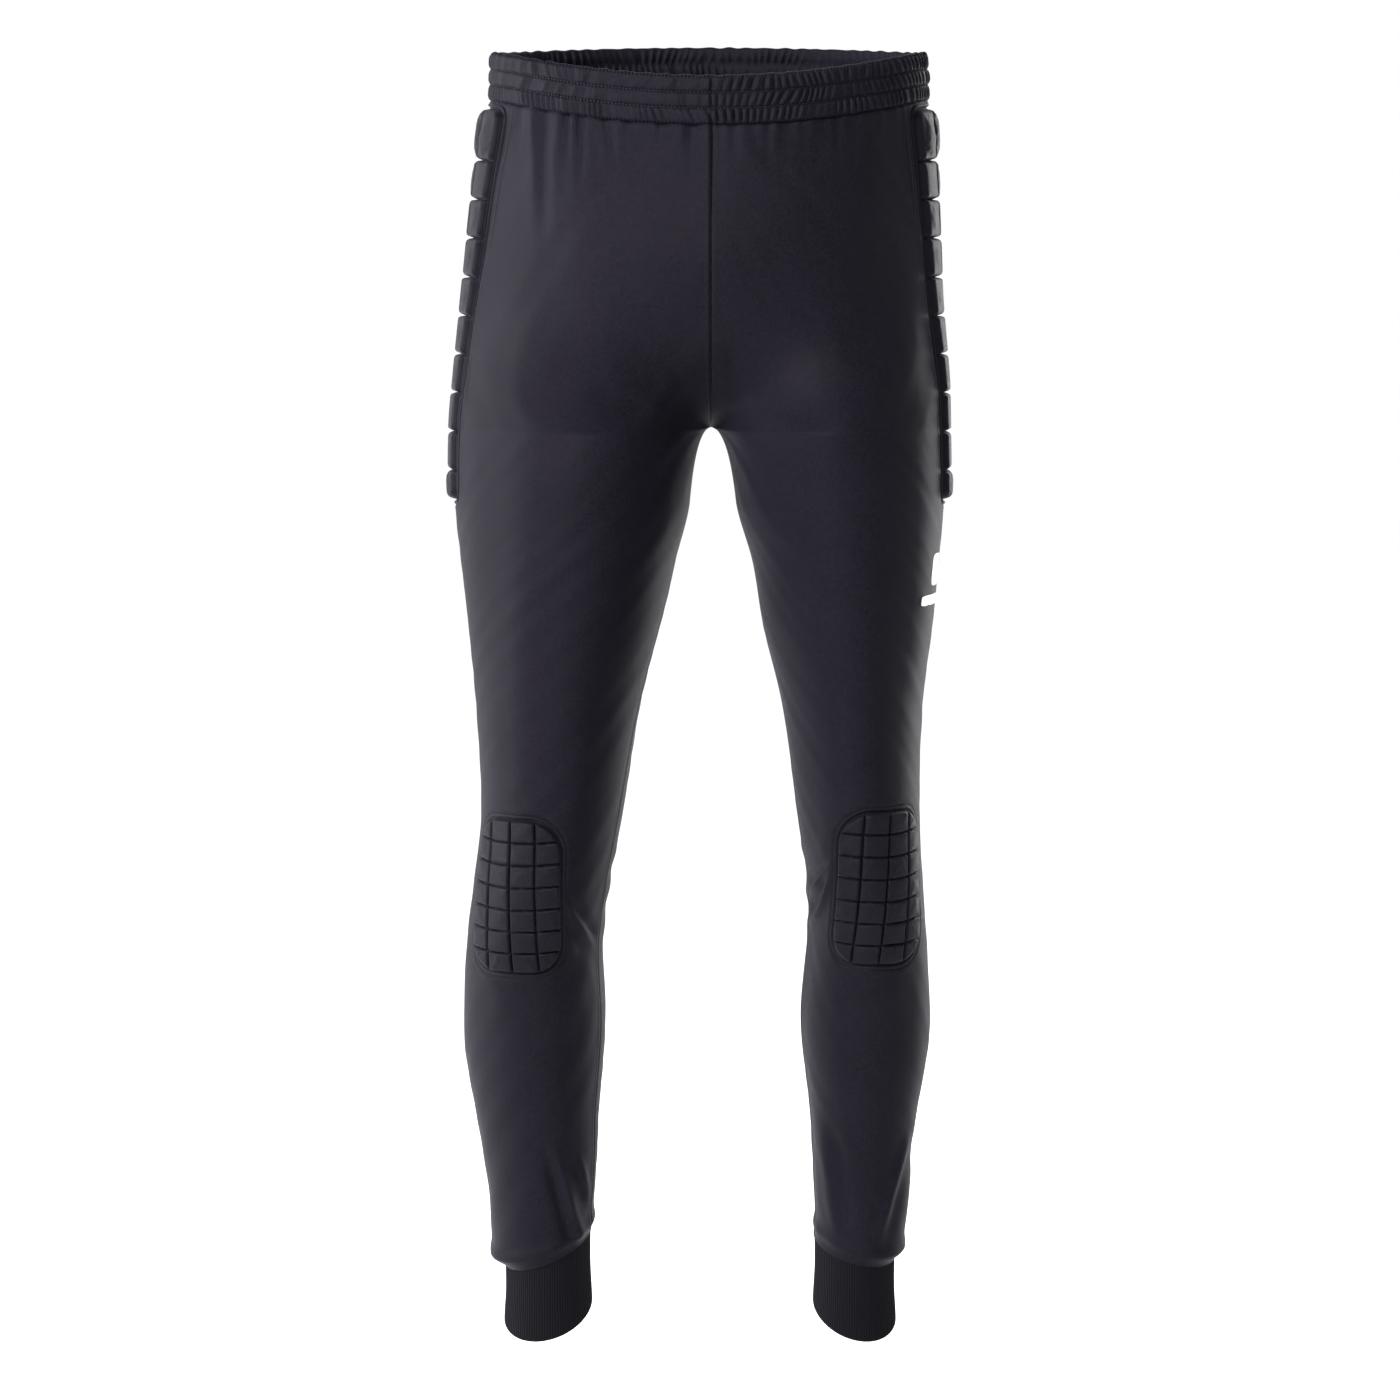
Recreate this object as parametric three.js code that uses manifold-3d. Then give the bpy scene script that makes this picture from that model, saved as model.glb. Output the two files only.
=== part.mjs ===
// Padded goalkeeper trousers, a men's medium, in the shape they take on a body. Millimetres, +X to the
// wearer's left, +Y to the back, +Z up. The origin is the centre of the waist opening, level with its top
// edge at the side seams. Each leg is cut as a front and a back panel. A panel is drawn as one surface
// from waist to ankle, and is parted where the hip and the knee bend, so that the stretch of cloth that
// folds there is a piece of its own.
import * as THREE from "three";
import { mergeVertices } from "three/addons/utils/BufferGeometryUtils.js";
import Module from "manifold-3d";

const wasm = await Module();
wasm.setup();

// Lengths down the side seam.
const WAISTBAND_HEIGHT = 37;
const RISE = 294; // waist edge to crotch
const CROTCH_TO_KNEE = 366;
const KNEE_TO_CALF = 112;
const CALF_TO_HEM = 180;
const CUFF_HEIGHT = 58;

// Cloth, foam and clearances.
const FABRIC = 1.5;
const RIB_FABRIC = 2.4; // the cuff is a doubled rib knit
const CASING_WALL = 1.2;
const ELASTIC_THICKNESS = 1.2;
const FOAM_THICKNESS = 4;
const PAD_COVER = 1;
const SEAM_GAP = 0.3; // between panels that are sewn edge to edge
const LAYER_GAP = 1.2; // between cloth and the foam or trim laid on it
const ELASTIC_CLEARANCE = 0.3;

// The waistband: rows of stitching part it into channels, with one elastic in each.
const ELASTICS = ["elastic_upper", "elastic_middle", "elastic_lower"];
const STITCH_WEB = 1.5; // height of a stitched row, where both walls are one
const WAIST_HALF_WIDTH = 172;
const WAIST_DIP = 22; // the front edge hangs this far below the sides
const WAIST_RISE = 9; // and the back edge stands this far above them

// Levels, as distances below the waist edge at the side seam.
const WAIST_SEAM = WAISTBAND_HEIGHT;
const CROTCH = RISE;
const KNEE = CROTCH + CROTCH_TO_KNEE;
const CALF = KNEE + KNEE_TO_CALF;
const HEM = CALF + CALF_TO_HEM;
const ANKLE = HEM + CUFF_HEIGHT;
const seat = (share) => WAIST_SEAM + share * (CROTCH - WAIST_SEAM);
const thigh = (share) => CROTCH + share * CROTCH_TO_KNEE;
const shin = (share) => CALF + share * CALF_TO_HEM;

// The crotch: where the centre seam starts to curve under the body, and the arch between the legs.
const CENTRE_SEAM_STRAIGHT = 150;
const ARCH_HEIGHT = 60;
const ARCH_HALF_WIDTH = 15;
const END_DIP = 3; // how fast a loop's dip towards the crotch fades round the leg, as a power

// Where the cloth folds at the hips: along a plane that slants from the crotch up to the side seam.
const GROIN_SLOPE = 0.75;
const HIP_FOLD = 230; // height of the stretch that folds
const KNEE_FOLD = 180;

// Quilted foam pads. An arc is measured round the leg towards the back, from the side seam or from the
// middle of the front. A pad leans: its arcs grow by this much for each unit of drop below its own middle.
const HIP_PAD_SET = 6; // its top edge lies this far below the waist seam
const HIP_PAD_REACH = 57; // and its bottom edge this far below the crotch
const HIP_PAD = {
  top: WAIST_SEAM + HIP_PAD_SET,
  height: CROTCH + HIP_PAD_REACH - WAIST_SEAM - HIP_PAD_SET,
  from: -42,
  to: 84,
  corner: 10,
  lean: 0.05,
};
const KNEE_PAD_HEIGHT = 124;
const KNEE_PAD = {
  top: KNEE - KNEE_PAD_HEIGHT / 2,
  height: KNEE_PAD_HEIGHT,
  from: -34,
  to: 50,
  corner: 27,
  lean: -0.15,
};
const PAD_FLANGE = 4; // the cover is sewn down this far outside the foam
const PRINT = { level: CROTCH + 118, height: 46, width: 50, forward: 37, thickness: 0.4 };

// Front and back edges of the body at each level.
const PROFILE = [
  [0, -112, 112],
  [WAIST_SEAM, -115, 114],
  [seat(0.33), -119, 124],
  [seat(0.64), -119, 139],
  [seat(0.83), -117, 139],
  [CROTCH, -113, 127],
  [thigh(0.16), -109, 111],
  [thigh(0.42), -98, 84],
  [thigh(0.6), -90, 71],
  [thigh(0.84), -82, 57],
  [KNEE, -80, 50],
  [KNEE + KNEE_TO_CALF * 0.45, -71, 54],
  [CALF, -61, 65],
  [shin(0.16), -58, 63],
  [shin(0.42), -53, 52],
  [shin(0.71), -49, 43],
  [HEM, -47, 38],
  [ANKLE, -47, 34],
];

// Each leg's outer and inner edges at each level, how far its knee is turned out, and how much higher its
// knee pad sits.
const LEGS = {
  right: {
    sign: -1,
    kneeTurn: THREE.MathUtils.degToRad(20),
    kneePadLift: 0, // how far the knee pad sits up
    kneePadShift: -4, // and towards the inseam from its plain place
    cuffTilt: { inward: 14, front: 8 },
    cuffHalfWidth: 35,
    cuffCentre: 132,
    outer: [
      [0, WAIST_HALF_WIDTH],
      [WAIST_SEAM, WAIST_HALF_WIDTH + 2],
      [seat(0.29), 184],
      [seat(0.6), 193],
      [seat(0.85), 200],
      [CROTCH, 203],
      [thigh(0.16), 203],
      [thigh(0.29), 198.5],
      [thigh(0.42), 193.5],
      [thigh(0.6), 187.5],
      [thigh(0.84), 184],
      [KNEE, 190.5],
      [KNEE + KNEE_TO_CALF * 0.45, 196.5],
      [CALF, 199.5],
      [shin(0.16), 198],
      [shin(0.42), 189],
      [shin(0.71), 180],
      [HEM, 177],
    ],
    inner: [
      [CROTCH, 0],
      [CROTCH + ARCH_HEIGHT, 2],
      [thigh(0.29), 13.5],
      [thigh(0.42), 24.5],
      [thigh(0.6), 41],
      [thigh(0.84), 56],
      [KNEE, 66.5],
      [KNEE + KNEE_TO_CALF * 0.45, 72],
      [CALF, 70],
      [shin(0.42), 75.5],
      [shin(0.71), 77],
      [HEM, 81],
    ],
  },
  left: {
    sign: 1,
    kneeTurn: THREE.MathUtils.degToRad(9),
    kneePadLift: 7,
    kneePadShift: 0,
    cuffTilt: { inward: 8, front: 8 },
    cuffHalfWidth: 33,
    cuffCentre: 116.5,
    outer: [
      [0, WAIST_HALF_WIDTH - 3.5],
      [WAIST_SEAM, WAIST_HALF_WIDTH - 2],
      [seat(0.29), 174.5],
      [seat(0.6), 178.5],
      [seat(0.85), 184],
      [CROTCH, 185],
      [thigh(0.16), 185],
      [thigh(0.29), 181],
      [thigh(0.42), 176.5],
      [thigh(0.6), 168.5],
      [thigh(0.84), 166.5],
      [KNEE, 169.5],
      [KNEE + KNEE_TO_CALF * 0.45, 173.5],
      [CALF, 177],
      [shin(0.16), 174.5],
      [shin(0.42), 166],
      [shin(0.71), 161.5],
      [HEM, 155],
    ],
    inner: [
      [CROTCH, 0],
      [CROTCH + ARCH_HEIGHT, 5],
      [thigh(0.29), 18],
      [thigh(0.42), 26],
      [thigh(0.6), 41.5],
      [thigh(0.84), 54],
      [KNEE, 62],
      [KNEE + KNEE_TO_CALF * 0.45, 61.5],
      [CALF, 57],
      [shin(0.42), 65],
      [shin(0.71), 67.5],
      [HEM, 70],
    ],
  },
};

// Facets: rows down a panel and columns from its front edge to its back edge.
const PANEL_COLUMNS = 14;
const BAND_COLUMNS = 24;
const ROW_HEIGHT = 28;
const PAD_STEP = 12;

const BLACK_TRICOT = new THREE.MeshStandardMaterial({ color: 0x38353e, roughness: 0.72, metalness: 0 });
const QUILTED_TRICOT = new THREE.MeshStandardMaterial({ color: 0x2b2a30, roughness: 0.78, metalness: 0 });
const RIB_KNIT = new THREE.MeshStandardMaterial({ color: 0x1f1f25, roughness: 0.88, metalness: 0 });
const PAD_FOAM = new THREE.MeshStandardMaterial({ color: 0x6c6c70, roughness: 0.9, metalness: 0 });
const WOVEN_ELASTIC = new THREE.MeshStandardMaterial({ color: 0xd8d6d0, roughness: 0.8, metalness: 0 });
const WHITE_PRINT = new THREE.MeshStandardMaterial({ color: 0xf2f2f2, roughness: 0.45, metalness: 0 });

const { lerp, clamp } = THREE.MathUtils;

// A smooth value between stations [level, value, ...], by a cubic whose slope at a station is its
// neighbours' slope.
function between(stations, level, column = 1) {
  let i = 0;
  while (i < stations.length - 2 && level > stations[i + 1][0]) i++;
  const slope = (k) => {
    const before = stations[Math.max(0, k - 1)];
    const after = stations[Math.min(stations.length - 1, k + 1)];
    return (after[column] - before[column]) / (after[0] - before[0]);
  };
  const [a, b] = [stations[i], stations[i + 1]];
  const step = b[0] - a[0];
  const t = clamp((level - a[0]) / step, 0, 1);
  const [t2, t3] = [t * t, t * t * t];
  return (
    (2 * t3 - 3 * t2 + 1) * a[column] +
    (t3 - 2 * t2 + t) * step * slope(i) +
    (3 * t2 - 2 * t3) * b[column] +
    (t3 - t2) * step * slope(i + 1)
  );
}

// How far the cloth has turned under the body at this level: 0 where the centre seam is straight, a right
// angle at the crotch.
const crotchAngle = (level) =>
  (clamp((level - CENTRE_SEAM_STRAIGHT) / (CROTCH - CENTRE_SEAM_STRAIGHT), 0, 1) * Math.PI) / 2;

// How far round the arch between the legs this level is: 0 at the crotch, a right angle where the arch
// ends.
const archAngle = (level) => (clamp((level - CROTCH) / ARCH_HEIGHT, 0, 1) * Math.PI) / 2;

// Height of a loop's two ends, which run down the centre seams, under the crotch and down the inseam.
function endHeight(level) {
  if (level < CENTRE_SEAM_STRAIGHT) return -level;
  if (level < CROTCH)
    return -CENTRE_SEAM_STRAIGHT - (CROTCH - CENTRE_SEAM_STRAIGHT) * Math.sin(crotchAngle(level));
  if (level < CROTCH + ARCH_HEIGHT) return -CROTCH - ARCH_HEIGHT * (1 - Math.cos(archAngle(level)));
  return -level;
}

// A point on the outside of the cloth. across is 0 at the centre front, 0.5 at the side seam and 1 at the
// centre back, and below the crotch both ends are the inseam.
function clothPoint(leg, across, level) {
  const front = between(PROFILE, level, 1);
  const back = between(PROFILE, level, 2);
  const outer = between(leg.outer, level);
  const middle = (front + back) / 2;
  const halfDepth = (back - front) / 2;
  const hipAngle = (across - 0.5) * Math.PI;
  const hip = [outer * Math.cos(hipAngle), middle + halfDepth * Math.sin(hipAngle)];
  const inner =
    ARCH_HALF_WIDTH * Math.sin(archAngle(level)) + (level > CROTCH ? between(leg.inner, level) : 0);
  const turn = leg.kneeTurn * THREE.MathUtils.smoothstep(level, CROTCH, KNEE);
  const legAngle = (across - 0.5) * 2 * Math.PI + turn;
  const legHalf = (outer - inner) / 2;
  const round = [
    inner + legHalf + legHalf * Math.cos(legAngle),
    middle + halfDepth * Math.sin(legAngle),
  ];
  const parted = 1 - Math.cos(crotchAngle(level));
  const nearEnd = Math.abs(2 * across - 1) ** END_DIP;
  const tilt = waistTilt(Math.sin(hipAngle), level);
  return new THREE.Vector3(
    leg.sign * (SEAM_GAP / 2 + lerp(hip[0], round[0], parted)),
    lerp(hip[1], round[1], parted),
    lerp(-level, endHeight(level), nearEnd) + tilt + hemDrop(leg, across, level),
  );
}

// The waist isn't level: toBack is -1 at the centre front and 1 at the centre back.
function waistTilt(toBack, level) {
  const share = 1 - THREE.MathUtils.smoothstep(level, WAIST_SEAM, CENTRE_SEAM_STRAIGHT);
  return share * (toBack < 0 ? -WAIST_DIP * toBack ** 2 : WAIST_RISE * toBack ** 1.5);
}

// The hem of a leg isn't level: it is lower at the front and at the outside.
function hemDrop(leg, across, level) {
  const share = THREE.MathUtils.smoothstep(level, CALF, HEM);
  const angle = (across - 0.5) * 2 * Math.PI + leg.kneeTurn;
  return share * (leg.cuffTilt.front * Math.sin(angle) - leg.cuffTilt.inward * Math.cos(angle));
}

// Outward normal of the cloth, from its slopes across and down.
function clothNormal(leg, across, level) {
  const [da, dl] = [0.004, 0.8];
  const a = THREE.MathUtils.clamp(across, da, 1 - da);
  const slopeAcross = clothPoint(leg, a + da, level).sub(clothPoint(leg, a - da, level));
  const slopeDown = clothPoint(leg, a, level + dl).sub(clothPoint(leg, a, level - dl));
  return slopeDown.cross(slopeAcross).normalize().multiplyScalar(leg.sign);
}

// The place round the leg that lies an arc length away from a starting place, at one level.
function acrossAt(leg, level, start, arc) {
  const steps = 24;
  const way = Math.sign(arc) || 1;
  const step = Math.abs(arc) / steps;
  let across = start;
  for (let i = 0; i < steps; i++) {
    const speed = clothPoint(leg, across + 0.001, level).distanceTo(clothPoint(leg, across, level)) / 0.001;
    across += (way * step) / speed;
  }
  return across;
}

// A grid of { point, normal } on the cloth, as rows of columns. level(across share, row share) and
// across(row share, column share) say where each one is.
function clothGrid(leg, rows, columns, place) {
  return Array.from({ length: rows + 1 }, (_, r) =>
    Array.from({ length: columns + 1 }, (_, c) => {
      const [across, level] = place(c / columns, r / rows);
      return { point: clothPoint(leg, across, level), normal: clothNormal(leg, across, level) };
    }),
  );
}

// Draws the edges of a grid in by half a seam's gap, so that pieces sewn edge to edge don't touch.
function trimmed(grid) {
  const pull = (a, b) => {
    const way = b.point.clone().sub(a.point);
    return { point: a.point.clone().addScaledVector(way.normalize(), SEAM_GAP / 2), normal: a.normal };
  };
  const rows = grid.map((row) => [pull(row[0], row[1]), ...row.slice(1, -1), pull(row.at(-1), row.at(-2))]);
  const edge = (row, next) => row.map((p, c) => pull(p, next[c]));
  return [edge(rows[0], rows[1]), ...rows.slice(1, -1), edge(rows.at(-1), rows.at(-2))];
}

// A closed slab of cloth or foam between two heights off the grid's surface. A ring's last column joins
// its first.
function slab(grid, low, high, ring = false) {
  const rows = grid.length;
  const columns = grid[0].length;
  const at = (height) =>
    grid.flatMap((row) => row.flatMap((g) => g.point.clone().addScaledVector(g.normal, height).toArray()));
  const index = [];
  const half = rows * columns;
  const corner = (face, r, c) => face * half + r * columns + (c % columns);
  const quad = (a, b, c, d) => index.push(a, b, c, a, c, d);
  const span = (r, c, r2, c2) => grid[r][c % columns].point.distanceTo(grid[r2][c2 % columns].point);
  const lastColumn = ring ? columns : columns - 1;
  for (let r = 0; r < rows - 1; r++)
    for (let c = 0; c < lastColumn; c++) {
      // Each facet folds along its shorter diagonal, the same way on both faces.
      const falling = span(r, c, r + 1, c + 1) <= span(r + 1, c, r, c + 1);
      for (const face of [0, 1]) {
        const loop = [corner(face, r, c), corner(face, r + 1, c), corner(face, r + 1, c + 1), corner(face, r, c + 1)];
        if (!falling) loop.push(loop.shift());
        quad(...(face ? loop : [loop[0], loop[3], loop[2], loop[1]]));
      }
    }
  for (let c = 0; c < lastColumn; c++) {
    quad(corner(0, 0, c), corner(1, 0, c), corner(1, 0, c + 1), corner(0, 0, c + 1));
    quad(corner(0, rows - 1, c), corner(0, rows - 1, c + 1), corner(1, rows - 1, c + 1), corner(1, rows - 1, c));
  }
  for (let r = 0; r < rows - 1 && !ring; r++) {
    quad(corner(0, r, 0), corner(0, r + 1, 0), corner(1, r + 1, 0), corner(1, r, 0));
    const end = columns - 1;
    quad(corner(0, r, end), corner(1, r, end), corner(1, r + 1, end), corner(0, r + 1, end));
  }
  const geometry = new THREE.BufferGeometry()
    .setAttribute("position", new THREE.Float32BufferAttribute([...at(low), ...at(high)], 3))
    .setIndex(index);
  return facingOut(geometry);
}

// Turns every face of a closed geometry round if its volume comes out negative.
function facingOut(geometry) {
  const [a, b, c] = [new THREE.Vector3(), new THREE.Vector3(), new THREE.Vector3()];
  const { position } = geometry.attributes;
  const index = geometry.index.array;
  let volume = 0;
  for (let i = 0; i < index.length; i += 3) {
    a.fromBufferAttribute(position, index[i]);
    b.fromBufferAttribute(position, index[i + 1]);
    c.fromBufferAttribute(position, index[i + 2]);
    volume += a.dot(b.cross(c));
  }
  if (volume < 0) for (let i = 0; i < index.length; i += 3) [index[i], index[i + 1]] = [index[i + 1], index[i]];
  geometry.computeVertexNormals();
  return geometry;
}

// One solid less others.
function cut(geometry, ...tools) {
  const solid = (g) => {
    const bare = mergeVertices(new THREE.BufferGeometry().setAttribute("position", g.attributes.position).setIndex(g.index));
    const vertProperties = bare.attributes.position.array;
    return new wasm.Manifold(new wasm.Mesh({ numProp: 3, vertProperties, triVerts: new Uint32Array(bare.index.array) }));
  };
  const made = tools.reduce((left, tool) => left.subtract(solid(tool)), solid(geometry)).getMesh();
  const points = Array.from({ length: made.numVert }, (_, i) =>
    [...made.vertProperties.subarray(i * made.numProp, i * made.numProp + 3)],
  );
  const result = new THREE.BufferGeometry()
    .setAttribute("position", new THREE.Float32BufferAttribute(points.flat(), 3))
    .setIndex([...made.triVerts]);
  result.computeVertexNormals();
  return result;
}

const trousers = new THREE.Group();

function add(name, geometry, material) {
  const mesh = new THREE.Mesh(geometry, material);
  mesh.name = name;
  trousers.add(mesh);
}

// Panels

// Level where the seat ends: a plane that rises from the crotch to the side seam, as the fold of the groin
// does.
const seatEnd = (leg, across) =>
  CROTCH - GROIN_SLOPE * between(leg.outer, CROTCH) * Math.sin(Math.PI * clamp(across, 0, 1));

// Level where the folding cloth ends and the thigh begins: the same plane, lower by the height of the fold.
function thighStart(leg, across) {
  const innerShare = (1 + Math.cos(2 * Math.PI * across)) / 2;
  const inner = ARCH_HALF_WIDTH + between(leg.inner, CROTCH + HIP_FOLD - ARCH_HEIGHT / 2);
  const outer = between(leg.outer, CROTCH + HIP_FOLD / 4);
  return CROTCH + HIP_FOLD - GROIN_SLOPE * lerp(outer, inner, innerShare);
}

const kneeFoldStart = () => KNEE - KNEE_FOLD / 2;
const kneeFoldEnd = () => KNEE + KNEE_FOLD / 2;

const ZONES = [
  { name: "seat", from: () => WAIST_SEAM, to: seatEnd },
  { name: "hip_fold", from: seatEnd, to: thighStart },
  { name: "thigh", from: thighStart, to: kneeFoldStart },
  { name: "knee_fold", from: kneeFoldStart, to: kneeFoldEnd },
  { name: "shin", from: kneeFoldEnd, to: () => HEM },
];
const FACES = [
  { name: "front", from: 0, to: 0.5 },
  { name: "back", from: 0.5, to: 1 },
];

for (const [side, leg] of Object.entries(LEGS))
  for (const zone of ZONES)
    for (const face of FACES) {
      const place = (c, r) => {
        const across = lerp(face.from, face.to, c);
        return [across, lerp(zone.from(leg, across), zone.to(leg, across), r)];
      };
      const height = zone.to(leg, 0.25) - zone.from(leg, 0.25);
      const rows = Math.max(3, Math.round(height / ROW_HEIGHT));
      const grid = trimmed(clothGrid(leg, rows, PANEL_COLUMNS, place));
      add(`${side}_${face.name}_${zone.name}`, slab(grid, -FABRIC, 0), BLACK_TRICOT);
    }

// Waistband: a folded casing in two halves, which meet at the centre front and centre back, and the
// elastics in it.

const CHANNEL_DEPTH = ELASTIC_THICKNESS + 2 * ELASTIC_CLEARANCE;
const CASING_DEPTH = CHANNEL_DEPTH + 2 * CASING_WALL;
const CHANNEL_PITCH = (WAISTBAND_HEIGHT - CASING_WALL) / ELASTICS.length;
const channelTop = (i) => CASING_WALL + i * CHANNEL_PITCH;
const channelEnd = (i) => channelTop(i) + CHANNEL_PITCH - STITCH_WEB;
const CHANNEL_OVERRUN = 1 / BAND_COLUMNS; // a channel runs out of both ends of its casing

const bandPlace = (top, end) => (c, r) => [c, lerp(top, end, r)];

for (const [side, leg] of Object.entries(LEGS)) {
  const casing = slab(
    clothGrid(leg, 1, BAND_COLUMNS, bandPlace(0, WAISTBAND_HEIGHT - SEAM_GAP)),
    -CASING_DEPTH,
    0,
  );
  const channels = ELASTICS.map((_, i) => {
    const overrun = (c, r) => [
      lerp(-CHANNEL_OVERRUN, 1 + CHANNEL_OVERRUN, c),
      lerp(channelTop(i), channelEnd(i), r),
    ];
    return slab(clothGrid(leg, 1, BAND_COLUMNS + 2, overrun), CASING_WALL - CASING_DEPTH, -CASING_WALL);
  });
  add(`waistband_casing_${side}`, cut(casing, ...channels), BLACK_TRICOT);
}

ELASTICS.forEach((name, i) => {
  const place = bandPlace(channelTop(i) + ELASTIC_CLEARANCE, channelEnd(i) - ELASTIC_CLEARANCE);
  const half = (leg) => clothGrid(leg, 1, BAND_COLUMNS, place);
  const [left, right] = [half(LEGS.left), half(LEGS.right)];
  const ring = left.map((row, r) => [...row, ...right[r].slice().reverse()]);
  const outside = -CASING_WALL - ELASTIC_CLEARANCE;
  add(name, slab(ring, outside - ELASTIC_THICKNESS, outside, true), WOVEN_ELASTIC);
});

// Quilted pads: foam laid on the panel, under a cover that is sewn down round it.

// How far the outline of a rounded rectangle is drawn in at a distance from its end.
const cornerInset = (corner, distance) =>
  distance >= corner ? 0 : corner - Math.sqrt(corner ** 2 - (corner - Math.max(0, distance)) ** 2);

// A slab with the pad's outline, grown by margin on every side.
function padSlab(leg, pad, start, margin, low, high) {
  const height = pad.height + 2 * margin;
  const corner = pad.corner + margin;
  const cornerSteps = 3;
  const middleSteps = Math.ceil((height - 2 * corner) / PAD_STEP);
  const rowStops = [
    ...Array.from({ length: cornerSteps }, (_, i) => corner * (1 - Math.cos((i * Math.PI) / 2 / cornerSteps))),
    ...Array.from({ length: middleSteps + 1 }, (_, i) => lerp(corner, height - corner, i / middleSteps)),
    ...Array.from(
      { length: cornerSteps },
      (_, i) => height - corner * (1 - Math.sin(((i + 1) * Math.PI) / 2 / cornerSteps)),
    ),
  ];
  const columns = Math.ceil((pad.to - pad.from) / PAD_STEP);
  const grid = rowStops.map((down) => {
    const level = pad.top - margin + down;
    const inset = cornerInset(corner, Math.min(down, height - down));
    return Array.from({ length: columns + 1 }, (_, c) => {
      const drift = pad.lean * (level - pad.top - pad.height / 2);
      const arc = drift + lerp(pad.from - margin + inset, pad.to + margin - inset, c / columns);
      const across = acrossAt(leg, level, start, arc);
      return { point: clothPoint(leg, across, level), normal: clothNormal(leg, across, level) };
    });
  });
  return slab(grid, low, high);
}

function addPad(name, leg, pad, start) {
  const foamTop = LAYER_GAP + FOAM_THICKNESS;
  const coverTop = foamTop + LAYER_GAP + PAD_COVER;
  add(`${name}_foam`, padSlab(leg, pad, start, 0, LAYER_GAP, foamTop), PAD_FOAM);
  const whole = padSlab(leg, pad, start, PAD_FLANGE, LAYER_GAP, coverTop);
  const pocket = padSlab(leg, pad, start, LAYER_GAP, -LAYER_GAP, foamTop + LAYER_GAP);
  add(`${name}_pad_cover`, cut(whole, pocket), QUILTED_TRICOT);
}

for (const [side, leg] of Object.entries(LEGS)) {
  addPad(`${side}_hip`, leg, HIP_PAD, 0.5);
  const kneePad = {
    ...KNEE_PAD,
    top: KNEE_PAD.top - leg.kneePadLift,
    from: KNEE_PAD.from + leg.kneePadShift,
    to: KNEE_PAD.to + leg.kneePadShift,
  };
  addPad(`${side}_knee`, leg, kneePad, 0.25);
}

// Cuffs: a doubled tube of rib knit, narrower than the hem that is gathered into it.

const CUFF_ROWS = 3;
const CUFF_COLUMNS = 24;

for (const [side, leg] of Object.entries(LEGS)) {
  const grid = Array.from({ length: CUFF_ROWS + 1 }, (_, r) =>
    Array.from({ length: CUFF_COLUMNS }, (_, c) => {
      const share = r / CUFF_ROWS;
      const level = lerp(HEM + SEAM_GAP, ANKLE, share);
      const angle = (c / CUFF_COLUMNS) * 2 * Math.PI;
      const front = between(PROFILE, level, 1);
      const back = between(PROFILE, level, 2);
      const halfDepth = (back - front) / 2 - 2;
      const tiltFront = lerp(leg.cuffTilt.front, 15, share);
      const tiltInward = lerp(leg.cuffTilt.inward, 7, share);
      const point = new THREE.Vector3(
        leg.sign * (leg.cuffCentre + leg.cuffHalfWidth * Math.cos(angle)),
        (front + back) / 2 + halfDepth * Math.sin(angle),
        -level + tiltFront * Math.sin(angle) - tiltInward * Math.cos(angle),
      );
      const normal = new THREE.Vector3(leg.sign * Math.cos(angle), Math.sin(angle), 0);
      return { point, normal };
    }),
  );
  add(`${side}_cuff`, slab(grid, -RIB_FABRIC, 0, true), RIB_KNIT);
}

// A plain white transfer on the outside of the left thigh.

const printPlace = (c, r) => {
  const level = PRINT.level + (r - 0.5) * PRINT.height;
  const half = (PRINT.width / 2) * Math.sin(Math.PI * lerp(0.2, 0.8, r));
  return [acrossAt(LEGS.left, level, 0.5, lerp(-half, half, c) - PRINT.forward), level];
};
const printGrid = clothGrid(LEGS.left, 5, 5, printPlace);
add("left_thigh_print", slab(printGrid, LAYER_GAP, LAYER_GAP + PRINT.thickness), WHITE_PRINT);

export default trousers;
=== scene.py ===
# Padded goalkeeper trousers, a men's medium, standing as a body fills them.
# Shapes are worked out in millimetres, in the frame of the solids, and go into the meshes in metres.
import math

import bpy
import numpy as np
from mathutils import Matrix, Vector


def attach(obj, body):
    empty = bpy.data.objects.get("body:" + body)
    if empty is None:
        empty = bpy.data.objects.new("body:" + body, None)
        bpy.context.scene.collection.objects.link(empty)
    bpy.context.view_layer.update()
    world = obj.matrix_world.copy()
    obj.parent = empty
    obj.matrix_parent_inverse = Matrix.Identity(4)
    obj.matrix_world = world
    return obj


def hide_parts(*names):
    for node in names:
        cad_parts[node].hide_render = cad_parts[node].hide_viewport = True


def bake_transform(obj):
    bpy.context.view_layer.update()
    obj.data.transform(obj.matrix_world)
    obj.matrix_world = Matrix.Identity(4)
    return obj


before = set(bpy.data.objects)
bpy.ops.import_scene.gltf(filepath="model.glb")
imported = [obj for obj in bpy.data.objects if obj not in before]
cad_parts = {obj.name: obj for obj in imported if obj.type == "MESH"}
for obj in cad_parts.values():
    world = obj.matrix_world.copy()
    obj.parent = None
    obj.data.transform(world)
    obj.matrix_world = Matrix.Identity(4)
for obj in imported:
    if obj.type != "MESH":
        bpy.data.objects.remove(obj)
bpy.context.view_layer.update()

# ----------------------------------------------------------------------------------------------------
# Leg cloth
# Each leg is a front and a back panel of black polyester tricot, a close warp knit, sewn at the inseam and
# side seam. The two legs meet in one seam from the front of the waist, through the crotch, to its back.

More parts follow.
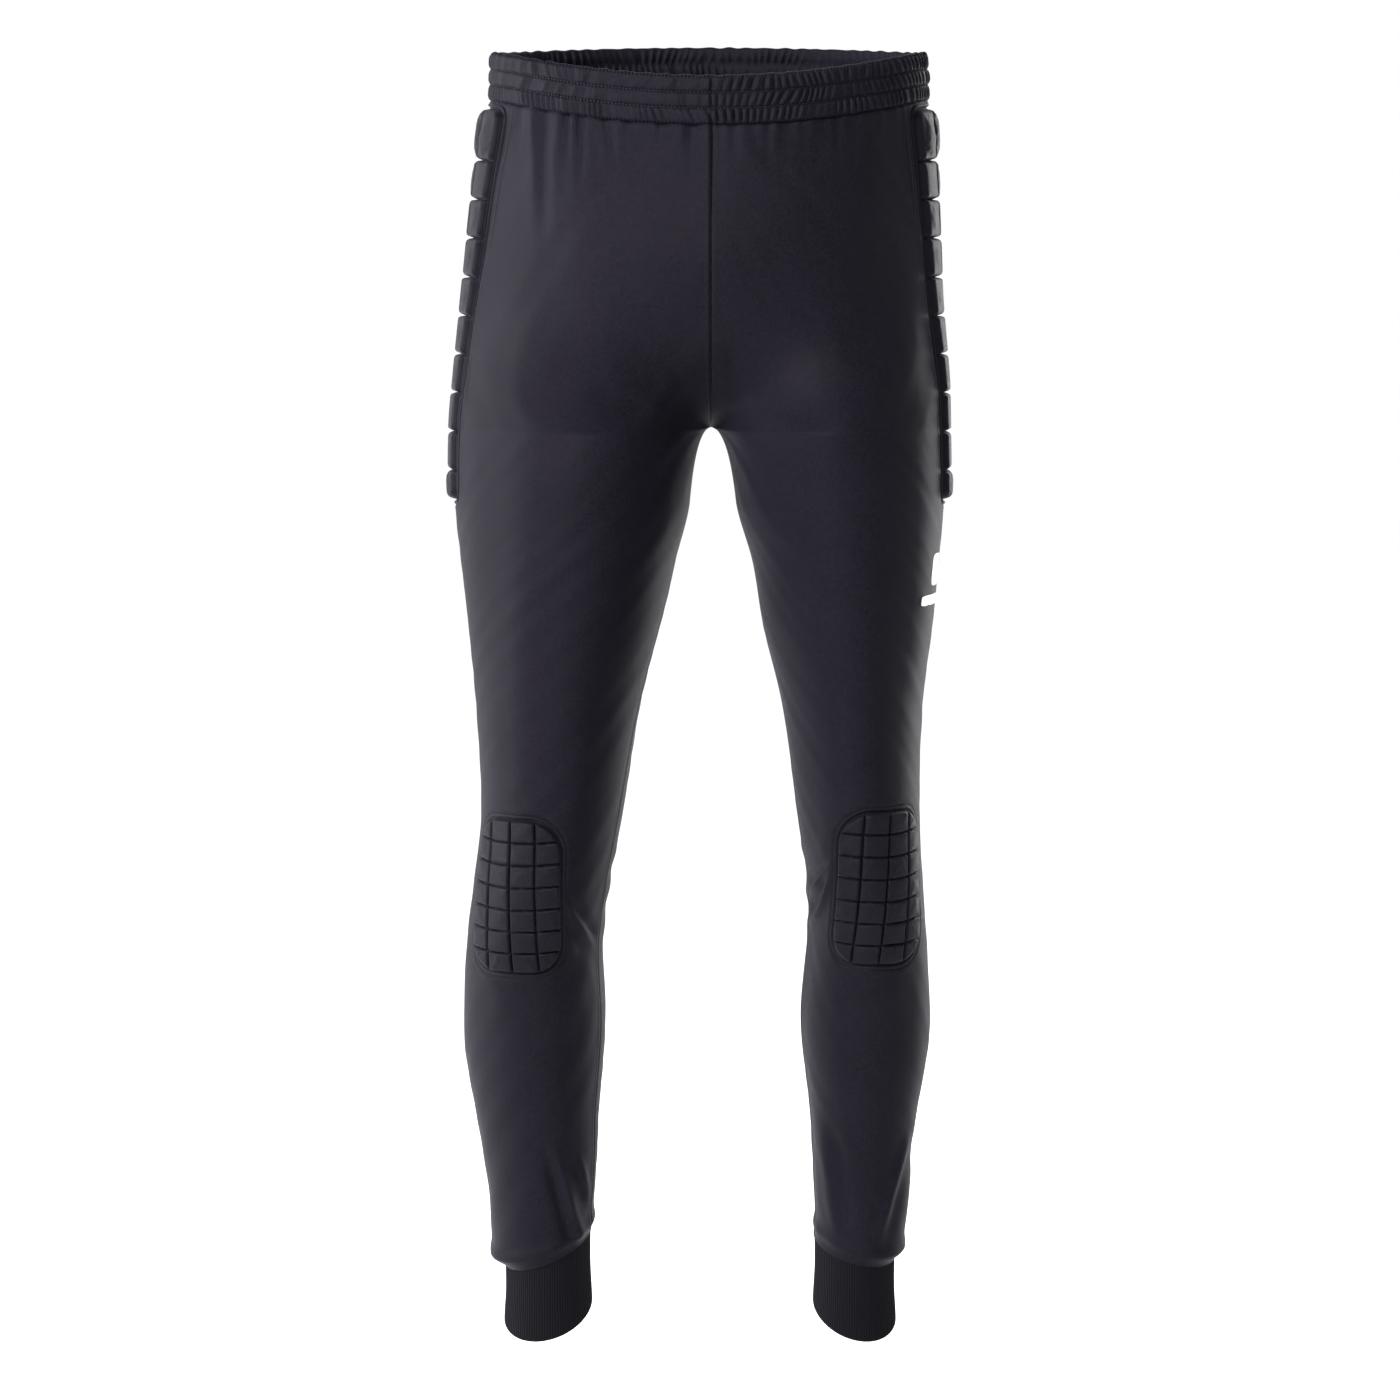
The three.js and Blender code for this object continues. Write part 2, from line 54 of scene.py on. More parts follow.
MM = 0.001
WAIST_SEAM = 37.0
CROTCH = 294.0
KNEE = CROTCH + 366
CALF = KNEE + 112
HEM = CALF + 180
ANKLE = HEM + 58
CENTRE_SEAM_STRAIGHT = 150.0
ARCH_HEIGHT = 60.0
ARCH_HALF_WIDTH = 15.0
END_DIP = 3
WAIST_DIP = 22.0
WAIST_RISE = 9.0
WAIST_HALF_WIDTH = 172.0
CLOTH_THICKNESS = 0.9


def seat_level(share):
    """A level that share of the way from the waist seam to the crotch."""
    return WAIST_SEAM + share * (CROTCH - WAIST_SEAM)


def thigh_level(share):
    """A level that share of the way from the crotch to the knee."""
    return CROTCH + share * (KNEE - CROTCH)


def shin_level(share):
    """A level that share of the way from the calf to the hem."""
    return CALF + share * (HEM - CALF)


CALF_RISE = KNEE + (CALF - KNEE) * 0.45

# Levels below the waist edge at which the body's front and back, and each leg's sides, are set.
BODY_LEVELS = [0, WAIST_SEAM, *map(seat_level, (0.33, 0.64, 0.83)), CROTCH]
BODY_LEVELS += [*map(thigh_level, (0.16, 0.42, 0.6, 0.84)), KNEE, CALF_RISE, CALF]
BODY_LEVELS += [*map(shin_level, (0.16, 0.42, 0.71)), HEM, ANKLE]
OUTER_LEVELS = [0, WAIST_SEAM, *map(seat_level, (0.29, 0.6, 0.85)), CROTCH]
OUTER_LEVELS += [*map(thigh_level, (0.16, 0.29, 0.42, 0.6, 0.84)), KNEE, CALF_RISE, CALF]
OUTER_LEVELS += [*map(shin_level, (0.16, 0.42, 0.71)), HEM]
INNER_LEVELS = [CROTCH, CROTCH + ARCH_HEIGHT, *map(thigh_level, (0.29, 0.42, 0.6, 0.84))]
INNER_LEVELS += [KNEE, CALF_RISE, CALF, *map(shin_level, (0.42, 0.71)), HEM]
FRONT_DEPTHS = [-112, -115, -119, -119, -117, -113, -109, -98, -90, -82, -80, -71, -61, -58, -53, -49, -47, -47]
BACK_DEPTHS = [112, 114, 124, 139, 139, 127, 111, 84, 71, 57, 50, 54, 65, 63, 52, 43, 38, 34]
FRONT_EDGE, BACK_EDGE = (BODY_LEVELS, FRONT_DEPTHS), (BODY_LEVELS, BACK_DEPTHS)

RIGHT = {
    "side": "right",
    "sign": -1,
    "knee_turn": math.radians(20),
    "cuff_inward": 14.0,
    "cuff_front": 8.0,
    "cuff_half_width": 35.0,
    "cuff_centre": 132.0,
    "knee_pad_lift": 0.0,
    "knee_pad_shift": -4.0,
    "outer": (
        OUTER_LEVELS,
        [WAIST_HALF_WIDTH, WAIST_HALF_WIDTH + 2, 184, 193, 200, 203, 203, 198.5, 193.5, 187.5, 184]
        + [190.5, 196.5, 199.5, 198, 189, 180, 177],
    ),
    "inner": (INNER_LEVELS, [0, 2, 13.5, 24.5, 41, 56, 66.5, 72, 70, 75.5, 77, 81]),
}
LEFT = {
    "side": "left",
    "sign": 1,
    "knee_turn": math.radians(9),
    "cuff_inward": 8.0,
    "cuff_front": 8.0,
    "cuff_half_width": 33.0,
    "cuff_centre": 116.5,
    "knee_pad_lift": 7.0,
    "knee_pad_shift": 0.0,
    "outer": (
        OUTER_LEVELS,
        [WAIST_HALF_WIDTH - 3.5, WAIST_HALF_WIDTH - 2, 174.5, 178.5, 184, 185, 185, 181, 176.5, 168.5, 166.5]
        + [169.5, 173.5, 177, 174.5, 166, 161.5, 155],
    ),
    "inner": (INNER_LEVELS, [0, 5, 18, 26, 41.5, 54, 62, 61.5, 57, 65, 67.5, 70]),
}


def smooth(low, high, value):
    """0 below low, 1 above high, and 3t^2 - 2t^3 between them."""
    t = np.clip((np.asarray(value, float) - low) / (high - low), 0, 1)
    return t * t * (3 - 2 * t)


def hump(distance, width):
    """A bell, 1 at no distance and near 0 past two widths: e to the minus square of distance over width."""
    return np.exp(-((distance / width) ** 2))


def along(stations, level):
    """The value between stations, by a cubic whose slope at a station is the slope between its neighbours.
    Stations are a list of levels and a list of values."""
    levels, values = np.array(stations, float)
    last = len(levels) - 1
    before = np.maximum(np.arange(last + 1) - 1, 0)
    after = np.minimum(np.arange(last + 1) + 1, last)
    slope = (values[after] - values[before]) / (levels[after] - levels[before])
    i = np.clip(np.searchsorted(levels, level, side="left") - 1, 0, last - 1)
    step = levels[i + 1] - levels[i]
    t = np.clip((level - levels[i]) / step, 0, 1)
    return (
        (2 * t**3 - 3 * t**2 + 1) * values[i]
        + (t**3 - 2 * t**2 + t) * step * slope[i]
        + (3 * t**2 - 2 * t**3) * values[i + 1]
        + (t**3 - t**2) * step * slope[i + 1]
    )


def legs_part(leg, level):
    """Two angles that run from 0 to a right angle, down the curve under the crotch and down the arch between
    the legs, and how far the leg's inner side stands from the middle."""
    under = np.clip((level - CENTRE_SEAM_STRAIGHT) / (CROTCH - CENTRE_SEAM_STRAIGHT), 0, 1) * np.pi / 2
    arch = np.clip((level - CROTCH) / ARCH_HEIGHT, 0, 1) * np.pi / 2
    inner = ARCH_HALF_WIDTH * np.sin(arch) + np.where(level > CROTCH, along(leg["inner"], level), 0)
    return under, arch, inner


def cloth(leg, across, level):
    """A point on the outside of the cloth. Across runs from 0 at the centre front, by 0.5 at the side seam,
    to 1 at the centre back. Above the straight of the centre seam a level is half an ellipse; below the crotch
    it is a whole one; between, it is the mean of the two, weighted by one minus the cosine of how far the cloth
    has turned under. Away from the seam that weight is evened over 24 mm up and down."""
    front, back = along(FRONT_EDGE, level), along(BACK_EDGE, level)
    outer = along(leg["outer"], level)
    middle, half_depth = (front + back) / 2, (back - front) / 2
    hip = (across - 0.5) * np.pi
    under, arch, inner = legs_part(leg, level)
    round_leg = (across - 0.5) * 2 * np.pi + leg["knee_turn"] * smooth(CROTCH, KNEE, level)
    parted = 1 - np.cos(under)
    off_seam = smooth(0.02, 0.14, across) * (1 - smooth(0.86, 0.98, across))
    above_and_below = [legs_part(leg, level + step) for step in (-24, -16, -8, 0, 8, 16, 24)]
    shares = np.array([1, 2, 3, 4, 3, 2, 1]) / 16
    even_parted = sum(share * (1 - np.cos(u)) for share, (u, _, _) in zip(shares, above_and_below))
    even_inner = sum(share * i for share, (_, _, i) in zip(shares, above_and_below))
    parted = parted + off_seam * (even_parted - parted)
    inner = inner + off_seam * (even_inner - inner)
    half_width = (outer - inner) / 2
    x = outer * np.cos(hip) * (1 - parted) + (inner + half_width + half_width * np.cos(round_leg)) * parted
    y = middle + half_depth * (np.sin(hip) * (1 - parted) + np.sin(round_leg) * parted)
    seam_height = np.where(
        level < CENTRE_SEAM_STRAIGHT,
        -level,
        np.where(
            level < CROTCH,
            -CENTRE_SEAM_STRAIGHT - (CROTCH - CENTRE_SEAM_STRAIGHT) * np.sin(under),
            np.where(level < CROTCH + ARCH_HEIGHT, -CROTCH - ARCH_HEIGHT * (1 - np.cos(arch)), -level),
        ),
    )
    near_seam = np.abs(2 * across - 1) ** END_DIP
    to_back = np.sin(hip)
    tilt = 1 - smooth(WAIST_SEAM, CENTRE_SEAM_STRAIGHT, level)
    tilt = tilt * (WAIST_RISE * np.maximum(to_back, 0) ** 1.5 - WAIST_DIP * np.maximum(-to_back, 0) ** 2)
    hem_angle = (across - 0.5) * 2 * np.pi + leg["knee_turn"]
    drop = leg["cuff_front"] * np.sin(hem_angle) - leg["cuff_inward"] * np.cos(hem_angle)
    z = -level * (1 - near_seam) + seam_height * near_seam + tilt + smooth(CALF, HEM, level) * drop
    return np.stack([leg["sign"] * x, y, z], -1)


def outward(leg, across, level):
    """The cloth's outward direction: the cross product of its slopes across and down."""
    a = np.clip(across, 0.004, 0.996)
    slope_across = cloth(leg, a + 0.004, level) - cloth(leg, a - 0.004, level)
    slope_down = cloth(leg, a, level + 0.8) - cloth(leg, a, level - 0.8)
    normal = np.cross(slope_down, slope_across) * leg["sign"]
    return normal / np.linalg.norm(normal, axis=-1, keepdims=True)


def ripples(seed, place, length, longest, shortest, count=9):
    """An uneven wave round a loop of that length: sines added up, each a whole number of waves round it."""
    chance = np.random.default_rng(seed)
    waves = np.round(length / chance.uniform(shortest, longest, count))
    phases = chance.uniform(0, 2 * np.pi, count)
    total = sum(np.sin(2 * np.pi * n * place / length + p) for n, p in zip(waves, phases))
    return total / math.sqrt(count / 2)


def fold(points, start, end, width, height, bow=0.0, valley=0.7, taper=0.35):
    """A crease seen from the front or back: a ridge along the line from start to end, in x and z, bowed to
    one side, with a valley beside it. It fades towards both ends. A negative valley is on the other side."""
    start, end = np.array(start, float), np.array(end, float)
    way = end - start
    length = np.hypot(*way)
    way = way / length
    x, z = points[..., 0] - start[0], points[..., 2] - start[1]
    t = (x * way[0] + z * way[1]) / length
    off = x * -way[1] + z * way[0] - bow * 4 * t * (1 - t)
    fade = smooth(-0.05, taper, t) * (1 - smooth(1 - taper, 1.05, t))
    beside = hump(off - np.sign(valley) * 1.7 * width, 1.3 * width)
    return height * fade * (hump(off, width) - abs(valley) * beside)


# Creases of the cloth: start and end as (x, z), width, height, bow, and depth of the valley beside.
FRONT_FOLDS = {
    "right": [
        ((-30, -244), (-59, -292), 10.0, 2.7, 7.0, 0.9),
        ((-117, -660), (-91, -709), 3.0, 2.1, 1.0, 0.8),
        ((-120, -683), (-105, -710), 2.8, 1.2, 0.0, 0.6),
        ((-98, -716), (-86, -752), 6.0, 1.0, 1.5, 0.5),
        ((-126, -862), (-103, -957), 4.2, 3.2, 0.7, -1.0),
        ((-107, -872), (-94, -924), 3.0, 2.0, 0.0, -0.9),
        ((-178, -700), (-170, -760), 8.0, 0.6, 2.0, 0.4),
        ((-160, -560), (-120, -592), 12.0, 0.7, 3.0, 0.6),
    ],
    "left": [
        ((13, -220), (25, -282), 9.0, -2.2, 0.0, 0.0),
        ((96, -633), (76, -671), 2.2, 2.4, -2.5, -0.9),
        ((94, -636), (75, -695), 2.4, 2.7, 3.0, -0.9),
        ((92, -596), (86, -650), 7.0, 1.0, 0.0, 0.5),
        ((87, -838), (101, -952), 5.0, 2.3, 0.5, 0.7),
        ((162, -850), (133, -950), 4.4, 2.7, -1.0, 1.0),
        ((150, -700), (140, -760), 8.0, 0.6, 2.0, 0.4),
        ((120, -556), (158, -590), 12.0, 0.7, -3.0, 0.6),
    ],
}
BACK_FOLDS = {
    "right": [
        ((-30, -268), (-120, -330), 12.0, 2.4, 8.0, 0.8),
        ((-42, -300), (-132, -372), 11.0, 1.8, 8.0, 0.7),
        ((-72, -628), (-150, -655), 6.0, 2.3, 5.0, 0.8),
        ((-74, -652), (-172, -690), 7.0, 2.0, 7.0, 0.8),
        ((-82, -688), (-160, -712), 6.0, 1.6, 4.0, 0.7),
        ((-92, -872), (-150, -905), 6.0, 1.6, 4.0, 0.7),
        ((-96, -905), (-160, -928), 5.0, 1.6, 3.0, 0.7),
    ],
    "left": [
        ((30, -268), (112, -326), 12.0, 2.2, -8.0, -0.8),
        ((44, -304), (124, -366), 11.0, 1.7, -8.0, -0.7),
        ((66, -622), (134, -652), 6.0, 2.1, -5.0, -0.8),
        ((64, -655), (150, -686), 7.0, 2.2, -7.0, -0.8),
        ((74, -686), (138, -714), 6.0, 1.5, -4.0, -0.7),
        ((80, -868), (140, -898), 6.0, 1.6, -4.0, -0.7),
        ((82, -902), (138, -926), 5.0, 1.5, -3.0, -0.7),
    ],
}
# Gathers hanging from the front of the waistband: place in x, drift sideways, length, width, depth.
GATHERS = {
    "right": [
        (-150, 0, 44, 5.0, 1.5),
        (-129.6, 0, 118, 4.6, 3.3),
        (-110.5, 0, 44, 3.0, 2.4),
        (-100, 0, 72, 3.4, 2.8),
        (-81.6, 9, 60, 3.4, 2.8),
        (-62, 0, 38, 4.0, 1.3),
        (-36, 4, 48, 5.0, 1.1),
        (-14, 0, 84, 7.0, 2.1),
    ],
    "left": [(14, 6, 52, 6.5, 0.8), (31, 6, 50, 4.6, 0.7), (58, 6, 38, 5.5, 0.5), (94, 8, 42, 5.5, 0.5)],
}
GATHER_TOP = 48  # the level at which they hang full


def gather(points, place, drift, length, width, depth):
    """A gather that hangs from the waistband: a valley between two low swells, fading out down its length."""
    t = np.clip((-points[..., 2] - GATHER_TOP) / length, 0, 1)
    off = points[..., 0] - place - drift * t
    swells = hump(off - 1.9 * width, 1.2 * width) + hump(off + 1.9 * width, 1.2 * width)
    return -depth * (1 - smooth(0, 1, t)) * (hump(off, width) - 0.4 * swells)


HIP_PAD = {
    "top": WAIST_SEAM + 6,
    "bottom": CROTCH + 57,
    "from": -42.0,
    "to": 84.0,
    "corner": 10.0,
    "lean": 0.05,
    "columns": 4,
    "row_edges": [0, 41.0, 71.4, 101.8, 132.2, 162.6, 193.0, 223.4, 253.8, 284.2, 308.0],
    "sag": 0.0,
    "block_height": 7.3,
    "edge_radius": 4.2,
    "channel": 0.35,
    "rim": 1.1,
    "trench": 1.2,
}
KNEE_PAD = {
    "top": KNEE - 62,
    "bottom": KNEE + 62,
    "from": -34.0,
    "to": 50.0,
    "corner": 27.0,
    "lean": -0.15,
    "columns": 4,
    "row_edges": [124 * i / 7 for i in range(8)],
    "sag": 2.4,
    "block_height": 3.2,
    "edge_radius": 2.6,
    "channel": 0.2,
    "rim": 0.05,
    "trench": 1.5,
}
PAD_SKIRT = 4.0  # the cover runs this far past the outline, under the edge of the leg cloth
PAD_BED = 2.0  # the leg cloth sinks this far under a pad
BLOCKS_IN = 1.5  # the blocks start this far inside the outline
SIDE_SEAM, FRONT_MIDDLE = 0.5, 0.25  # places across a leg
CUFF_BLOUSE, WAIST_TUCK = 1.9, 2.4  # how far the cloth stands out over the cuff and in under the waistband


def outline_distance(pad, arc, level, lift=0.0, shift=0.0):
    """Distance inside a pad's outline, a leaning rectangle with round corners; it is negative outside."""
    top, bottom = pad["top"] - lift, pad["bottom"] - lift
    half_height, half_width = (bottom - top) / 2, (pad["to"] - pad["from"]) / 2
    down = level - (top + bottom) / 2
    sideways = arc - shift - pad["lean"] * down - (pad["to"] + pad["from"]) / 2
    qx = np.abs(sideways) - half_width + pad["corner"]
    qy = np.abs(down) - half_height + pad["corner"]
    outside = np.hypot(np.maximum(qx, 0), np.maximum(qy, 0))
    return pad["corner"] - outside - np.minimum(np.maximum(qx, qy), 0)


def relief(leg, across, level, points, arc):
    """How far the cloth stands off its plain shape: seams sink and pucker, gathers run down from the
    waistband, folds cross the knee and ankle, a rim stands round each pad, and the cloth sinks under it."""
    side_arc = arc - arc_at(arc, across, SIDE_SEAM)
    knee_arc = arc - arc_at(arc, across, FRONT_MIDDLE)
    length = arc[:, -1:]
    left = leg["side"] == "left"
    front = 1 - smooth(0.46, 0.54, across)
    back = 1 - front
    height = np.zeros_like(across)

    # Gathers under the waistband, and soft unevenness everywhere.
    fade = np.exp(-np.maximum(level - WAIST_SEAM, 0) / 19)
    share = np.where(left, 0.3, 0.35) * front + 0.85 * back
    height += fade * share * ripples(11 + left, arc, 520, 34, 9, 12)
    slow = np.exp(-np.maximum(level - WAIST_SEAM, 0) / 70)
    height += 0.5 * slow * (0.4 * front + back) * ripples(21 + left, arc, 520, 60, 28, 6)
    for place, drift, run, width, deep in GATHERS[leg["side"]]:
        height += front * gather(points, place, drift, run, width, deep)
    height += 0.3 * ripples(31 + left, arc + 0.25 * level, 640, 150, 60, 5)
    height += 0.1 * ripples(33 + left, arc - 0.7 * level, 640, 46, 20, 7)

    # Folds.
    for line, face in ((FRONT_FOLDS, front), (BACK_FOLDS, back)):
        for start, end, width, rise, bow, valley in line[leg["side"]]:
            height += face * fold(points, start, end, width, rise, bow, valley)

    # The inseam and centre seam, and the side seam. The allowance is pressed to one side, so a ridge lies
    # beside it. The front and back panels meet at one height along the inseam.
    below_crotch = smooth(CROTCH - 20, CROTCH + 40, level)
    height *= 1 - below_crotch * (hump(arc, 9) + hump(length - arc, 9))
    pucker = 1 + 0.35 * (1 - below_crotch) * np.sin(2 * np.pi * level / 8.5 + 2 * np.sin(level / 31))
    depth = 0.95 - 0.5 * below_crotch
    for distance, ridge in ((arc, 0.1 if left else 0.55), (length - arc, 0.3)):
        height -= depth * pucker * hump(distance, 1.0)
        height += depth * ridge * hump(distance - 3.0, 1.3)
    below_hip_pad = smooth(HIP_PAD["bottom"] + 2, HIP_PAD["bottom"] + 12, level)
    height -= 0.5 * below_hip_pad * pucker * hump(side_arc, 1.0)
    height += 0.25 * below_hip_pad * hump(side_arc - 3.2, 1.4)

    # The bed that each pad's skirt lies in.
    for pad, place, lift, shift in (
        (HIP_PAD, side_arc, 0.0, 0.0),
        (KNEE_PAD, knee_arc, leg["knee_pad_lift"], leg["knee_pad_shift"]),
    ):
        inside = outline_distance(pad, place, level, lift, shift)
        sunk = smooth(-PAD_SKIRT - 0.4, -PAD_SKIRT + 3.2, inside)
        height = height * (1 - sunk) - PAD_BED * sunk + 0.25 * hump(inside + PAD_SKIRT + 2.5, 1.6)

    # The cloth blouses a little over the cuff, and tucks in under the waistband.
    height += CUFF_BLOUSE * hump(level - (HEM - 7), 6)
    height -= WAIST_TUCK * (1 - smooth(WAIST_SEAM - 1, WAIST_SEAM + 3, level))
    return height


def arc_at(arc, across, place):
    """The arc length from the front edge to one place across, row by row."""
    i = int(np.searchsorted(across[0], place))
    t = (place - across[0, i - 1]) / (across[0, i] - across[0, i - 1])
    return (arc[:, i - 1] + t * (arc[:, i] - arc[:, i - 1]))[:, None]


def cuff_ring(leg, level, angle, spread=0.0):
    """A point on the cuff: an ellipse whose lower edge leans forward and out, grown by spread."""
    front, back = along(FRONT_EDGE, level), along(BACK_EDGE, level)
    half_depth = (back - front) / 2 - 2 + spread
    share = np.clip((level - HEM) / (ANKLE - HEM), 0, 1)
    lean_front = leg["cuff_front"] + (15 - leg["cuff_front"]) * share
    lean_inward = leg["cuff_inward"] + (7 - leg["cuff_inward"]) * share
    x = leg["cuff_centre"] + (leg["cuff_half_width"] + spread) * np.cos(angle)
    y = (front + back) / 2 + half_depth * np.sin(angle)
    z = -level + lean_front * np.sin(angle) - lean_inward * np.cos(angle)
    return np.stack([leg["sign"] * x, y, z], -1)


def surface_mesh(name, points, quads, uv, material):
    """A mesh of quads from points in millimetres, smooth but for edges over 50 degrees; UVs in metres."""
    points, quads = np.asarray(points, float).reshape(-1, 3), np.asarray(quads, np.int32)
    mesh = bpy.data.meshes.new(name)
    mesh.vertices.add(len(points))
    mesh.vertices.foreach_set("co", (points * MM).astype(np.float32).ravel())
    mesh.loops.add(quads.size)
    mesh.loops.foreach_set("vertex_index", quads.ravel())
    mesh.polygons.add(len(quads))
    mesh.polygons.foreach_set("loop_start", np.arange(0, quads.size, 4, dtype=np.int32))
    mesh.polygons.foreach_set("loop_total", np.full(len(quads), 4, np.int32))
    mesh.update(calc_edges=True)
    mesh.validate()
    mesh.polygons.foreach_set("use_smooth", np.ones(len(mesh.polygons), bool))
    layer = mesh.uv_layers.new(name="cloth")
    corners = np.asarray(uv, float).reshape(-1, 2)[quads.ravel()]
    layer.data.foreach_set("uv", (corners * MM).astype(np.float32).ravel())
    mesh.set_sharp_from_angle(angle=math.radians(50))
    mesh.materials.append(material)
    piece = bpy.data.objects.new(name, mesh)
    bpy.context.scene.collection.objects.link(piece)
    return piece


def grid_quads(rows, columns, closed_rows=False, ring=False):
    """Quads of a grid of points. A ring's columns close on themselves, and so do closed rows."""
    row_range = np.arange(rows if closed_rows else rows - 1)
    r, c = np.meshgrid(row_range, np.arange(columns if ring else columns - 1), indexing="ij")
    down, right = (r + 1) % rows, (c + 1) % columns
    corners = [r * columns + c, down * columns + c, down * columns + right, r * columns + right]
    return np.stack(corners, -1).reshape(-1, 4)


def sheet_quads(rows, columns, flip, ring=False):
    """Quads of two layered grids, outer then inner, and of the rim that joins them. Flip turns each round."""
    outer = grid_quads(rows, columns, ring=ring)
    shift = rows * columns
    parts = [outer, outer[:, ::-1] + shift]
    c = np.arange(columns if ring else columns - 1)
    right = (c + 1) % columns
    parts.append(np.stack([c, right, right + shift, c + shift], -1))
    last = (rows - 1) * columns
    parts.append(np.stack([last + right, last + c, last + c + shift, last + right + shift], -1))
    if not ring:
        r = np.arange(rows - 1) * columns
        parts.append(np.stack([r + columns, r, r + shift, r + columns + shift], -1))
        r = r + columns - 1
        parts.append(np.stack([r, r + columns, r + columns + shift, r + shift], -1))
    quads = np.concatenate(parts)
    return quads[:, ::-1] if flip else quads


def sheet(name, outer, inner, uv, material, flip):
    """A closed sheet of cloth between two grids of points."""
    rows, columns = outer.shape[:2]
    points = np.concatenate([outer.reshape(-1, 3), inner.reshape(-1, 3)])
    both = np.concatenate([uv.reshape(-1, 2), uv.reshape(-1, 2)])
    return surface_mesh(name, points, sheet_quads(rows, columns, flip), both, material)


class Nodes:
    """A material's node tree, with short ways to add and join nodes."""

    def __init__(self, name):
        self.material = bpy.data.materials.new(name)
        self.material.use_nodes = True
        self.tree = self.material.node_tree
        self.shader = self.tree.nodes["Principled BSDF"]

    def fill(self, sockets, values):
        """Set each socket to its number or colour, or join it to another node's output."""
        for key, value in values.items():
            if isinstance(value, bpy.types.NodeSocket):
                self.tree.links.new(value, sockets[key])
            else:
                sockets[key].default_value = value

    def add(self, kind, inputs=None, **settings):
        node = self.tree.nodes.new(kind)
        for key, value in settings.items():
            setattr(node, key, value)
        self.fill(node.inputs, inputs or {})
        return node.outputs[0]

    def set(self, values):
        self.fill(self.shader.inputs, values)

    def math(self, operation, a, b=0.0, c=0.0):
        return self.add("ShaderNodeMath", {0: a, 1: b, 2: c}, operation=operation)

    def place(self, kind="Object"):
        return self.add("ShaderNodeTexCoord").node.outputs[kind]

    def noise(self, place, scale, detail=2.0, roughness=0.5):
        inputs = {"Vector": place, "Scale": scale, "Detail": detail, "Roughness": roughness}
        return self.add("ShaderNodeTexNoise", inputs)

    def mix(self, share, dark, light):
        inputs = {0: share, 6: (*dark, 1), 7: (*light, 1)}
        return self.add("ShaderNodeMix", inputs, data_type="RGBA").node.outputs[2]

    def waves(self, along, pitch):
        """0 to 1 and back over each pitch in metres."""
        return self.math("ABSOLUTE", self.math("SINE", self.math("MULTIPLY", along, math.pi / pitch)))

    def bump(self, strength, distance, height):
        inputs = {"Strength": strength, "Distance": distance, "Height": height}
        self.set({"Normal": self.add("ShaderNodeBump", inputs)})


WALE, COURSE = 0.00062, 0.0005  # pitch of the tricot's upright and level ribs, in metres


def tricot(name, dark, light, sheen, shine, roughness):
    """Warp-knit polyester: fine upright wales crossed by courses, a brushed sheen, and slight mottling of the
    dye."""
    n = Nodes(name)
    here = n.place()
    split = n.add("ShaderNodeSeparateXYZ", {0: n.place("UV")})
    u, v = split.node.outputs[0], split.node.outputs[1]
    wales, courses = n.waves(u, WALE), n.waves(v, COURSE)
    knit = n.math("MULTIPLY", wales, n.math("ADD", n.math("MULTIPLY", courses, 0.5), 0.5))
    mottle = n.noise(here, 560.0, roughness=0.6)
    patches = n.noise(here, 16.0)
    shade = n.math("MULTIPLY_ADD", patches, 0.35, n.math("MULTIPLY_ADD", knit, 0.2, -0.42))
    shade = n.math("MULTIPLY_ADD", mottle, 1.3, shade)
    n.set(
        {
            "Base Color": n.mix(shade, dark, light),
            "Roughness": n.math("MULTIPLY_ADD", mottle, 0.16, roughness - 0.08),
            "Specular IOR Level": shine,
            "Sheen Weight": sheen,
            "Sheen Roughness": 0.33,
            "Sheen Tint": (0.84, 0.77, 1.0, 1),
            "Specular Tint": (0.96, 0.88, 1.0, 1),
        }
    )
    n.bump(0.5, 0.00032, n.math("MULTIPLY_ADD", mottle, 0.7, knit))
    return n.material


black_tricot = tricot(
    "black tricot", (0.001, 0.0009, 0.0018), (0.0066, 0.006, 0.0102), sheen=0.045, shine=0.05, roughness=0.48
)

SPLIT = 560.0  # the level at mid-thigh where the upper and lower pieces of a panel join


def stepped(stops, counts):
    """Numbers that rise from stop to stop, with that many in each run, both its ends counted."""
    runs = [np.linspace(low, high, count)[:-1] for low, high, count in zip(stops, stops[1:], counts)]
    return np.concatenate([*runs, stops[-1:]])


ACROSS = stepped([0, 0.022, 0.482, 0.518, 0.978, 1], [17, 128, 27, 128, 17])
LEVELS = stepped([WAIST_SEAM - 3, 60, SPLIT, HEM - 16, HEM + 1.5], [15, 188, 150, 16])
SIDE_COLUMN = int(np.argmin(np.abs(ACROSS - SIDE_SEAM)))
SPLIT_ROW = int(np.argmin(np.abs(LEVELS - SPLIT)))
TUCK_START = HEM - 6


def bend_at_hip(piece, leg):
    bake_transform(piece)


def bend_at_knee(piece, leg):
    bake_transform(piece)


